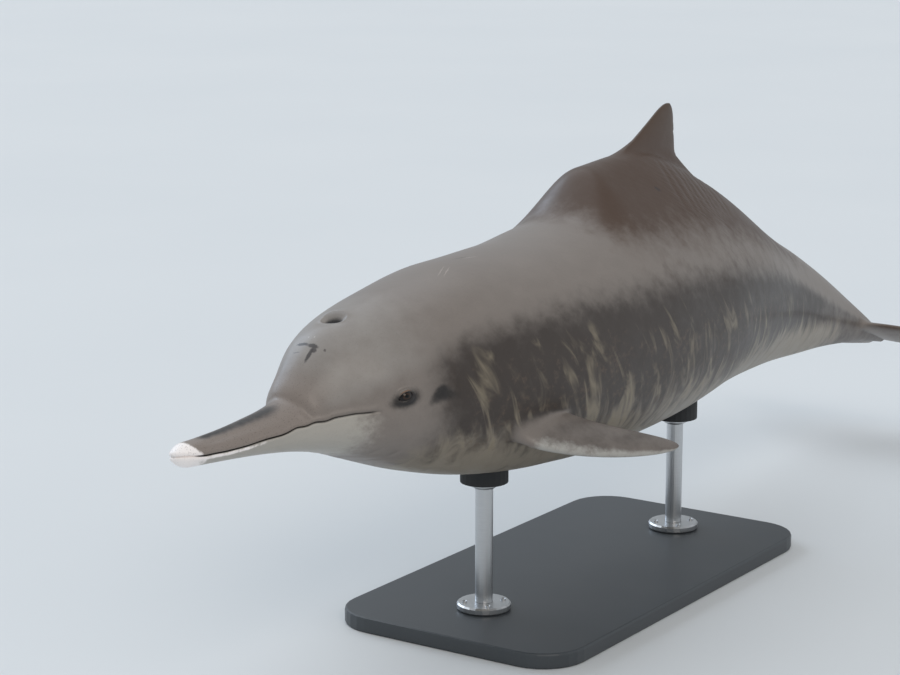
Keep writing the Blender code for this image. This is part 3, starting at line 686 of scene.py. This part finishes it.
skinMaterial, tree, shader = newMaterial("wetDolphinSkin")
drawn = addNode(tree, "Attribute", attribute_name="drawn").outputs["Vector"]
share = {
    part: addNode(tree, "Attribute", attribute_name=part + "Share").outputs["Fac"]
    for part in (
        "melon", "hump", "flank", "patch", "belly", "beak", "jaw", "tip", "fin", "edge", "darkToneAndShade", "lidGlint", "wrinkle",
    )
}
mottle, speckle, blotch = (
    addNode(
        tree, "TexNoise",
        {"Vector": drawn, "Scale": 1000.0 / skin[size], "Detail": detail, "Roughness": roughness},
    ).outputs["Fac"]
    for size, detail, roughness in (("mottleSize", 6.0, 0.62), ("speckleSize", 3.0, 0.6), ("blotchSize", 5.0, 0.65))
)
# faint streaks that run down the flank, each about as wide as a hand's breadth is long: painted light, ripples of
# light as water casts them on skin; they also fray the belly's edge
streakPlace = addNode(
    tree, "Mapping", {"Vector": drawn, "Rotation": (0.0, math.radians(-22.0), 0.0), "Scale": (0.030, 0.070, 0.120)},
    vector_type="TEXTURE",
).outputs["Vector"]
streak = addNode(
    tree, "TexNoise", {"Vector": streakPlace, "Scale": 1.0, "Detail": 3.0, "Roughness": 0.55, "Distortion": 0.9}
).outputs["Fac"]

colour = addNode(
    tree, "Mix",
    {0: mottle, 6: linear(skin["back"]), 7: linear(skin["backPale"])}, data_type="RGBA",
).outputs[2]
# each layer: its mask, its colour, what frays its edge and how much, and where the edge lies
for mask, shade, fray, amount, low, high in (
    ("melon", "melon", mottle, 0.4, 0.05, 1.00),
    ("flank", "flank", mottle, 0.8, 0.05, 0.90),
    ("hump", "hump", mottle, 0.9, 0.05, 0.90),
    # painted light: mid-brown blotches and pale yellowish streaks on the lower flank, copying light rippling over wet
    # skin
    ("belly", "belly", streak, 1.5, 0.20, 1.05),
    ("patch", "mid", blotch, 2.2, 0.50, 1.30),
    ("patch", "patch", streak, 2.6, 0.50, 1.30),
    ("beak", "beak", blotch, 0.3, 0.20, 0.90),
    ("jaw", "jaw", blotch, 0.7, 0.20, 0.85),
    ("fin", "fin", blotch, 0.4, 0.10, 1.00),
    ("tip", "tip", blotch, 0.9, 0.30, 0.75),
    ("edge", "edge", blotch, 0.9, 0.35, 0.95),
    ("lidGlint", "lidGlint", speckle, 0.4, 0.40, 0.90),
    # painted shade in creases and holes, and darker skin round the eye and along the top of the beak
    ("darkToneAndShade", "darkToneAndShade", blotch, 0.5, 0.15, 1.00),
):
    centred = addNode(tree, "Math", {0: fray, 1: 0.5}, operation="SUBTRACT").outputs[0]
    frayed = addNode(tree, "Math", {0: centred, 1: amount, 2: share[mask]}, operation="MULTIPLY_ADD").outputs[0]
    held = addNode(tree, "Math", {0: frayed, 1: addNode(
        tree, "MapRange", {"Value": share[mask], "From Max": 0.06}
    ).outputs["Result"]}, operation="MULTIPLY").outputs[0]
    spread = addNode(
        tree, "MapRange", {"Value": held, "From Min": low, "From Max": high}, interpolation_type="SMOOTHSTEP"
    ).outputs["Result"]
    colour = addNode(tree, "Mix", {0: spread, 6: colour, 7: linear(skin[shade])}, data_type="RGBA").outputs[2]

# Scars and small marks lie on the straight animal as ovals: along, left and up of the middle, half
# length, half width, turn in degrees about the vertical, colour in the skin's list and strength.
marks = (
    ((0.3214, 0.003, 0.1260), 0.0160, 0.0030, 88.0, "scar", 0.90),
    ((0.3222, 0.027, 0.1235), 0.0130, 0.0038, 82.0, "scar", 0.90),
    ((0.3170, 0.0330, 0.1180), 0.0060, 0.0040, 60.0, "scar", 0.85),
    ((0.3090, 0.0285, 0.1130), 0.0150, 0.0042, 6.0, "scar", 0.90),
    ((0.3077, -0.002, 0.1140), 0.0095, 0.0013, 88.0, "scuff", 0.50),
    ((0.3265, 0.0498, 0.1160), 0.0027, 0.0021, 60.0, "scuff", 0.70),
    ((0.3350, 0.006, 0.1380), 0.0018, 0.0014, 0.0, "spot", 0.70),
    ((0.3370, 0.019, 0.1380), 0.0017, 0.0014, 0.0, "spot", 0.70),
    ((0.7160, 0.034, 0.2090), 0.0210, 0.0014, 14.0, "scratch", 0.70),
    ((0.7300, 0.044, 0.2070), 0.0160, 0.0010, 20.0, "graze", 0.60),
    ((0.6300, 0.060, 0.1950), 0.0260, 0.0011, -25.0, "rake", 0.55),
    ((0.6360, 0.068, 0.1950), 0.0240, 0.0011, -25.0, "rake", 0.55),
    ((0.9700, -0.070, 0.2150), 0.0420, 0.0012, 18.0, "oldRake", 0.50),
    ((0.9780, -0.082, 0.2120), 0.0400, 0.0012, 18.0, "oldRake", 0.50),
    ((0.9860, -0.094, 0.2100), 0.0360, 0.0012, 18.0, "oldRake", 0.50),
    ((1.3165, 0.083, 0.2570), 0.0090, 0.0035, 20.0, "scar", 0.75),
)
ragged = {"size": 4.0, "reach": 0.0017}  # their edges waver by up to this reach, over this many millimetres
wobble = addNode(
    tree, "TexNoise", {"Vector": drawn, "Scale": 1000.0 / ragged["size"], "Detail": 3.0}
).outputs["Color"]
wavering = addNode(
    tree, "VectorMath", {0: wobble, 1: (2.0 * ragged["reach"],) * 3, 2: drawn}, operation="MULTIPLY_ADD"
).outputs["Vector"]
steady = addNode(
    tree, "VectorMath", {0: wavering, 1: (ragged["reach"],) * 3}, operation="SUBTRACT"
).outputs["Vector"]
for middle, halfLength, halfWidth, turned, shade, strength in marks:
    inMark = addNode(
        tree, "Mapping",
        {"Vector": steady, "Location": middle, "Rotation": (0.0, 0.0, math.radians(turned)),
         "Scale": (halfLength, halfWidth, 0.03)},
        vector_type="TEXTURE",
    ).outputs["Vector"]
    away = addNode(tree, "VectorMath", {0: inMark}, operation="LENGTH").outputs["Value"]
    there = addNode(
        tree, "MapRange", {"Value": away, "From Min": 1.15, "From Max": 0.55, "To Max": strength},
        interpolation_type="SMOOTHSTEP",
    ).outputs["Result"]
    colour = addNode(tree, "Mix", {0: there, 6: colour, 7: linear(skin[shade])}, data_type="RGBA").outputs[2]

# fine speckles, darker than the skin and strongest on the beak
freckle = addNode(
    tree, "MapRange", {"Value": speckle, "From Min": 0.56, "From Max": 0.68, "To Max": 0.35},
    interpolation_type="SMOOTHSTEP",
).outputs["Result"]
onBeak = addNode(tree, "Math", {0: share["beak"], 1: 1.0, 2: 0.30}, operation="MULTIPLY_ADD").outputs[0]
freckled = addNode(tree, "Math", {0: freckle, 1: onBeak}, operation="MULTIPLY").outputs[0]
colour = addNode(tree, "Mix", {0: freckled, 6: colour, 7: linear(skin["freckle"])}, data_type="RGBA").outputs[2]
tree.links.new(colour, shader.inputs["Base Color"])

# wrinkles run down and back behind the fin, and finer ones follow the body
wrinklePlace = addNode(
    tree, "Mapping", {"Vector": drawn, "Rotation": (0.0, math.radians(33.0), 0.0), "Scale": (0.090, 0.020, 0.008)},
    vector_type="TEXTURE",
).outputs["Vector"]
wrinkle = addNode(
    tree, "TexNoise", {"Vector": wrinklePlace, "Scale": 1.0, "Detail": 3.0, "Roughness": 0.55}
).outputs["Fac"]
wrinkleHeight = addNode(tree, "Math", {0: wrinkle, 1: share["wrinkle"]}, operation="MULTIPLY").outputs[0]
fineHeight = addNode(tree, "Math", {0: speckle, 1: 0.10}, operation="MULTIPLY").outputs[0]
softHeight = addNode(tree, "Math", {0: blotch, 1: 0.35, 2: fineHeight}, operation="MULTIPLY_ADD").outputs[0]
allHeight = addNode(tree, "Math", {0: wrinkleHeight, 1: 3.2, 2: softHeight}, operation="MULTIPLY_ADD").outputs[0]
bumped = addNode(tree, "Bump", {"Height": allHeight, "Strength": 0.8, "Distance": 0.001}).outputs["Normal"]
tree.links.new(bumped, shader.inputs["Normal"])
gloss = addNode(
    tree, "MapRange", {"Value": mottle, "From Min": 0.3, "From Max": 0.7, "To Min": skin["roughness"] - 0.05,
                       "To Max": skin["roughness"] + 0.07},
).outputs["Result"]
tree.links.new(gloss, shader.inputs["Roughness"])
for name, value in (("IOR", skin["ior"]), ("Coat Weight", skin["coat"]), ("Coat Roughness", skin["coatRoughness"])):
    shader.inputs[name].default_value = value

# Store the straight places and the masks with the skin, then bend it.
flesh = ["beak_upper", "jaw_lower", "head", "throat", "neck", "chest", "trunk_hump", "trunk_rear",
         "tail_stock_front", "tail_stock_rear", "dorsal_fin", "flipper_left", "flipper_right", "fluke_left",
         "fluke_right"]
skinPiece = addPiece("dolphin_skin", skinMesh, skinMaterial, flesh)
skinData = skinPiece.data


def bendPiece(piece):
    data = piece.data
    straight = np.zeros(len(data.vertices) * 3)
    data.vertices.foreach_get("co", straight)
    straight = straight.reshape(-1, 3)
    data.vertices.foreach_set("co", bend(straight).ravel())
    data.flip_normals()
    data.update()
    return straight


def storeFloats(data, name, values):
    found = data.attributes.get(name) or data.attributes.new(name, "FLOAT", "POINT")
    found.data.foreach_set("value", np.clip(values, 0.0, 1.0).astype(np.float32))


def readFloats(data, name):
    values = np.zeros(len(data.vertices), np.float32)
    data.attributes[name].data.foreach_get("value", values)
    return values.astype(float)


straight = bendPiece(skinPiece)
skinData.attributes.new("drawn", "FLOAT_VECTOR", "POINT").data.foreach_set("vector", straight.ravel())
along, side, up = straight.T
turn = np.arctan2(np.abs(side), up - widestLevel(along))
cavityShade, lidGlint, blade, edge = (readFloats(skinData, name) for name in ("cavityShade", "lidGlint", "blade", "edge"))
onBody = 1.0 - smoothStep(0.0, 0.12, blade)
onTrunk = np.where((along > 1.2) & (along < 2.2), 1.0, onBody)  # the back fin takes the hump's colour
overLip = up - mouthLevel(along)
backFinShare = blade * (np.abs(side) < 0.05) * (up > 0.2)
paddleShare = blade * (np.abs(side) > 0.02) * (along < 1.2)
flukeShare = blade * (along > 2.2)
onUpperLip = smoothStep(-0.0012, 0.0018, overLip)
onLowerLip = 1.0 - onUpperLip
head = 1.0 - smoothStep(0.28, 0.42, along)

# Where each colour starts and ends: along the body, or as a turn from the middle of the back in radians.
zones = {
    "melonFront": (0.25, 0.32), "melonRear": (0.40, 0.58), "melonSide": (1.05, 1.40),
    "humpFront": (0.965, 1.135), "humpRear": (1.72, 2.20), "humpSide": (0.32, 0.95), "humpLow": (0.9, 1.5),
    "flankFront": (0.41, 0.55), "flankRear": (1.9, 2.3), "flankSide": (0.80, 1.45),
    "patchFront": (0.44, 0.56), "patchRear": (1.7, 2.2), "patchSide": (1.05, 1.60), "patchLow": (2.2, 2.7),
    "bellyFront": (0.36, 0.52), "bellyRear": (2.15, 2.40), "bellySide": (1.55, 2.70),
    "beakEnd": (0.225, 0.330), "ridgeFront": (0.035, 0.075), "ridgeEnd": (0.20, 0.26), "whiteLip": (0.12, 0.24),
    "shadeBehindEyeAlong": 0.4815, "shadeTop": (1.40, 1.50), "shadeBottom": (1.56, 1.72),
}


def after(zone, where):
    return smoothStep(*zones[zone], where)


def before(zone, where):
    return 1.0 - smoothStep(*zones[zone], where)


# the white tip ends further back at the lips than on top, and furthest under the jaw
tipEnd = 0.026 + 0.017 * (1.0 - smoothStep(0.0, 0.026, overLip))
whiteTip = 1.0 - smoothStep(tipEnd - 0.011 - 0.008 * onLowerLip, tipEnd + 0.013 + 0.020 * onLowerLip, along)
whiteLip = 0.75 * bell(overLip, -0.0045, 0.0042) * before("whiteLip", along)
# painted shade in the hollow behind the eye, widening downwards
spread = np.abs(along - zones["shadeBehindEyeAlong"]) / (0.007 + 0.15 * np.clip(turn - 1.436, 0.0, 0.2))
shadeBehindEye = after("shadeTop", turn) * before("shadeBottom", turn) * (1.0 - smoothStep(0.3, 1.6, spread))
darkEye = bell(along, 0.411, 0.027) * bell(turn, 1.470, 0.100)
darkRidge = bell(turn, 0.28, 0.42) * before("ridgeEnd", along) * after("ridgeFront", along)
# painted shade: a dark line along the crease of the mouth
mouthCreaseShade = bell(overLip, 0.0, 0.0015) * (1.0 - smoothStep(0.352, 0.368, along)) * smoothStep(0.020, 0.045, along)
masks = {
    # melon: painted sky reflection, the top of the head painted lighter where wet skin catches the sky
    "melon": 0.45 * after("melonFront", along) * before("melonRear", along) * before("melonSide", turn) * onUpperLip,
    # hump: the hump's own browner tone, darkened by painted shade over its top and upper sides, where the steep hump
    # catches less sky
    "hump": after("humpFront", along - 0.03 * turn) * before("humpRear", along) * onTrunk
    * (0.8 * before("humpSide", turn) + 0.2 * before("humpLow", turn)),
    # flank: painted shade, the flank and more faintly the flippers painted darker than the back
    "flank": after("flankFront", along) * (0.5 + 0.5 * before("flankRear", along)) * after("flankSide", turn) * onBody
    + 0.42 * smoothStep(0.0, 0.3, paddleShare),
    # patch: painted light, rippling light over the lower flank laid on as streaky mottling
    "patch": 0.54 * after("patchFront", along) * before("patchRear", along) * after("patchSide", turn)
    * before("patchLow", turn) * onBody,
    "belly": after("bellySide", turn) * after("bellyFront", along) * before("bellyRear", along) * onBody,
    "beak": before("beakEnd", along) * onUpperLip,
    "jaw": onLowerLip * head,
    "tip": np.maximum(whiteTip, whiteLip),
    "fin": 0.8 * smoothStep(0.05, 0.75, backFinShare) + 0.75 * smoothStep(0.0, 0.25, flukeShare),
    # edge: the flippers' own pale leading edges; on the back fin the lighter leading edge is a painted highlight
    "edge": edge * (0.85 * smoothStep(0.05, 0.25, paddleShare) + 0.30 * smoothStep(0.3, 0.6, backFinShare)),
    # dark: painted shade in the mouth crease, the blowhole, the eye pockets and the hollow behind the eye, with
    # darker skin round the eye and along the top of the beak
    "darkToneAndShade": np.maximum.reduce([1.15 * mouthCreaseShade, 1.3 * cavityShade, 1.40 * darkEye, 0.95 * shadeBehindEye, 0.92 * darkRidge]),
    # lid: the tan lid fold, painted lighter along its lit edge as a highlight
    "lidGlint": lidGlint * (turn < 1.440),
    "wrinkle": (bell(along, 1.48, 0.14) * smoothStep(0.06, 0.16, up) + 0.08) * onBody,
}
for part, values in masks.items():
    storeFloats(skinData, part + "Share", values)
print("skin:", len(skinData.vertices), "points,", sum(len(p.vertices) - 2 for p in skinData.polygons), "triangles")

# Dark wet eye: a clear cornea over a brown iris, as smooth as glass because it is always wet.
eyeLook = {
    "pupil": "#050404", "iris": "#24170f", "fibre": "#37251b", "rim": "#0d0908", "white": "#1a1210",
    "pupilShare": 0.20, "irisShare": 0.50, "roughness": 0.06, "ior": 1.376,
}
eyeMaterial, tree, shader = newMaterial("wetEye")
local = addNode(tree, "Attribute", attribute_name="local").outputs["Vector"]
flat = addNode(tree, "VectorMath", {0: local, 1: (1.0, 1.35, 0.0)}, operation="MULTIPLY").outputs["Vector"]
away = addNode(tree, "VectorMath", {0: flat}, operation="LENGTH").outputs["Value"]
fibre = addNode(tree, "TexNoise", {"Vector": local, "Scale": 9.0, "Detail": 4.0}).outputs["Fac"]
colour = addNode(
    tree, "Mix", {0: fibre, 6: linear(eyeLook["iris"]), 7: linear(eyeLook["fibre"])}, data_type="RGBA"
).outputs[2]
for low, high, code in (
    (eyeLook["pupilShare"] + 0.04, eyeLook["pupilShare"], eyeLook["pupil"]),
    (eyeLook["irisShare"] - 0.10, eyeLook["irisShare"], eyeLook["rim"]),
    (eyeLook["irisShare"] + 0.02, eyeLook["irisShare"] + 0.18, eyeLook["white"]),
):
    reached = addNode(
        tree, "MapRange", {"Value": away, "From Min": low, "From Max": high}, interpolation_type="SMOOTHSTEP"
    ).outputs["Result"]
    colour = addNode(tree, "Mix", {0: reached, 6: colour, 7: linear(code)}, data_type="RGBA").outputs[2]
tree.links.new(colour, shader.inputs["Base Color"])
shader.inputs["Roughness"].default_value = eyeLook["roughness"]
shader.inputs["IOR"].default_value = eyeLook["ior"]

for sideName, side in (("left", 1), ("right", -1)):
    centre, backward, upward, outward = eyeFrames[side]
    ball = bmesh.new()
    bmesh.ops.create_uvsphere(ball, u_segments=48, v_segments=32, radius=1.0)
    unit = np.array([vert.co for vert in ball.verts])
    reach = eyes["radius"] * (1.0 + 0.045 * bell(np.hypot(unit[:, 0], unit[:, 1]), 0.0, 0.42) * (unit[:, 2] > 0.0))
    places = centre + (unit[:, :1] * backward + unit[:, 1:2] * upward + unit[:, 2:] * outward) * reach[:, None]
    for vert, spot in zip(ball.verts, places):
        vert.co = spot
    ball.normal_update()
    bmesh.ops.recalc_face_normals(ball, faces=ball.faces)
    piece = addPiece("eyeball_" + sideName, ball, eyeMaterial, ["eye_" + sideName])
    bendPiece(piece)
    piece.data.attributes.new("local", "FLOAT_VECTOR", "POINT").data.foreach_set("vector", unit.ravel())
print("eyes made")



# Spreads a pattern over a finish: two colours, then a range of roughness, and a fine relief in metres.
def dress(tree, shader, pattern, codes, rough, relief=None, strength=0.0, depth=0.0):
    low, high = (linear(code) for code in codes)
    colour = addNode(tree, "Mix", {0: pattern, 6: low, 7: high}, data_type="RGBA").outputs[2]
    tree.links.new(colour, shader.inputs["Base Color"])
    if rough[0] == rough[1]:
        shader.inputs["Roughness"].default_value = rough[0]
    else:
        spread = addNode(tree, "MapRange", {"Value": pattern, "To Min": rough[0], "To Max": rough[1]})
        tree.links.new(spread.outputs["Result"], shader.inputs["Roughness"])
    if relief:
        raised = addNode(tree, "Bump", {"Height": relief, "Strength": strength, "Distance": depth})
        tree.links.new(raised.outputs["Normal"], shader.inputs["Normal"])


# The stand. Its plate, rods, flanges and pads keep the solids' own shapes and get their finishes.
paint, tree, shader = newMaterial("satinPaintedTimber")  # sprayed satin paint: a soft sheen and a faint orange peel
place = addNode(tree, "TexCoord").outputs["Object"]
peel = addNode(tree, "TexNoise", {"Vector": place, "Scale": 1000.0 / 3.0, "Detail": 2.0}).outputs["Fac"]
cloud = addNode(tree, "TexNoise", {"Vector": place, "Scale": 1000.0 / 160.0, "Detail": 4.0}).outputs["Fac"]
dress(tree, shader, cloud, ("#383c40", "#43484c"), (0.36, 0.48), peel, 0.25, 0.0002)

steel, tree, shader = newMaterial("brushedStainlessSteel")  # turned and brushed: fine rings round each rod
place = addNode(tree, "TexCoord").outputs["Object"]
ringPlace = addNode(tree, "Mapping", {"Vector": place, "Scale": (0.030, 0.030, 0.0006)}, vector_type="TEXTURE")
brush = addNode(tree, "TexNoise", {"Vector": ringPlace.outputs["Vector"], "Scale": 1.0, "Detail": 3.0}).outputs["Fac"]
dress(tree, shader, brush, ("#b4b6b8", "#cfd0d1"), (0.24, 0.40), brush, 0.3, 0.0001)
shader.inputs["Metallic"].default_value = 1.0

rubber, tree, shader = newMaterial("mouldedRubber")  # matt black rubber with a dusty bloom
place = addNode(tree, "TexCoord").outputs["Object"]
grain = addNode(tree, "TexNoise", {"Vector": place, "Scale": 1000.0 / 1.5, "Detail": 3.0}).outputs["Fac"]
dress(tree, shader, grain, ("#222324", "#303132"), (0.72, 0.72), grain, 0.4, 0.0002)

for name, node in frame["nodes"].items():
    if name.startswith("stand_"):
        finish = paint if name == "stand_base" else rubber if "pad" in name else steel
        for used in node.material_slots:
            used.material = finish

# Small turned fittings: a collar under each pad, and four cap screws in each flange.
fittings = {
    "collarRadius": 0.027, "collarHeight": 0.012, "screwRadius": 0.0048, "screwHeight": 0.0032, "screwCircle": 0.038,
}
for where in ("front", "rear"):
    rodLow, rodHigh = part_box("stand_rod_" + where)
    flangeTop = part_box("stand_flange_" + where)[1].z
    middle = (rodLow + rodHigh) / 2.0
    rodRadius = (rodHigh.x - rodLow.x) / 2.0
    collar = bmesh.new()
    top = rodHigh.z - 0.0006
    profile = [
        collar.verts.new((middle.x + radius, middle.y, top - drop))
        for radius, drop in (
            (rodRadius - 0.001, 0.0), (fittings["collarRadius"] - 0.0012, 0.0), (fittings["collarRadius"], 0.0012),
            (fittings["collarRadius"], 0.0060), (rodRadius + 0.0030, fittings["collarHeight"] - 0.001),
            (rodRadius - 0.001, fittings["collarHeight"]),
        )
    ]
    edges = [collar.edges.new((a, b)) for a, b in zip(profile, profile[1:] + profile[:1])]
    bmesh.ops.spin(
        collar, geom=profile + edges, cent=(middle.x, middle.y, 0.0), axis=(0.0, 0.0, 1.0),
        angle=2.0 * math.pi, steps=40, use_merge=True, use_duplicate=False,
    )
    bmesh.ops.recalc_face_normals(collar, faces=collar.faces)
    addPiece("rod_collar_" + where, collar, steel).data.set_sharp_from_angle(angle=math.radians(30.0))
    screws = bmesh.new()
    for k in range(4):
        spin = math.radians(45.0 + 90.0 * k)
        spot = Matrix.Translation((
            middle.x + fittings["screwCircle"] * math.cos(spin), middle.y + fittings["screwCircle"] * math.sin(spin),
            flangeTop + fittings["screwHeight"] / 2.0,
        ))
        made = bmesh.ops.create_cone(
            screws, cap_ends=True, segments=24, radius1=fittings["screwRadius"], radius2=fittings["screwRadius"],
            depth=fittings["screwHeight"], matrix=spot,
        )["verts"]
        cap = max({f for vert in made for f in vert.link_faces}, key=lambda f: f.calc_center_median().z)
        bmesh.ops.bevel(
            screws, geom=list(cap.edges), offset=0.0006, segments=2, profile=0.5, affect="EDGES", material=-1
        )
        top = max((f for f in screws.faces if (f.calc_center_median() - spot.translation).length < 0.006),
                  key=lambda f: f.calc_center_median().z)
        bmesh.ops.inset_region(screws, faces=[top], thickness=0.0020, use_even_offset=True)
        bmesh.ops.translate(screws, verts=list(top.verts), vec=(0.0, 0.0, -0.0018))
    bmesh.ops.recalc_face_normals(screws, faces=screws.faces)
    screwHeads = addPiece("flange_screws_" + where, screws, steel)
    screwHeads.data.set_sharp_from_angle(angle=math.radians(30.0))
print("stand finished")

# A plain pale floor that reaches past the view.
floorPaint, tree, shader = newMaterial("palePaintedFloor")
place = addNode(tree, "TexCoord").outputs["Object"]
cloud = addNode(tree, "TexNoise", {"Vector": place, "Scale": 0.8, "Detail": 3.0}).outputs["Fac"]
dress(tree, shader, cloud, ("#d3d6d8", "#d9dbdc"), (0.65, 0.65))
ground = bmesh.new()
bmesh.ops.create_grid(ground, x_segments=1, y_segments=1, size=40.0)
floorData = bpy.data.meshes.new("floor")
ground.to_mesh(floorData)
ground.free()
floorData.materials.append(floorPaint)
floor = bpy.data.objects.new("floor", floorData)
scene.collection.objects.link(floor)

# Soft studio light, even all over the floor: broad cool light from above and behind, a warmer key from
# the front left and a weak fill. Each has the direction it comes from, its strength and its width in degrees.
lights = (
    ("sky", (0.10, 0.45, 1.00), 1.30, 75.0, "#e6edf4"),
    ("key", (-0.60, -0.70, 0.75), 0.70, 30.0, "#fff5ea"),
    ("rim", (0.20, 1.00, 0.45), 0.78, 35.0, "#cfe1f6"),
    ("fill", (0.70, -0.90, 0.35), 0.20, 60.0, "#ffffff"),
)
for name, source, strength, width, code in lights:
    lamp = bpy.data.lights.new(name, "SUN")
    lamp.angle = math.radians(width)
    lamp.energy = strength
    lamp.color = linear(code)[:3]
    made = bpy.data.objects.new(name, lamp)
    made.rotation_euler = Vector(source).to_track_quat("Z", "Y").to_euler()
    scene.collection.objects.link(made)
world = bpy.data.worlds.new("studio")
world.use_nodes = True
backdrop = world.node_tree.nodes["Background"]
backdrop.inputs["Color"].default_value = linear("#dde3e8")
backdrop.inputs["Strength"].default_value = 0.62
scene.world = world
scene.view_settings.view_transform = "Standard"
print("floor and lights set")
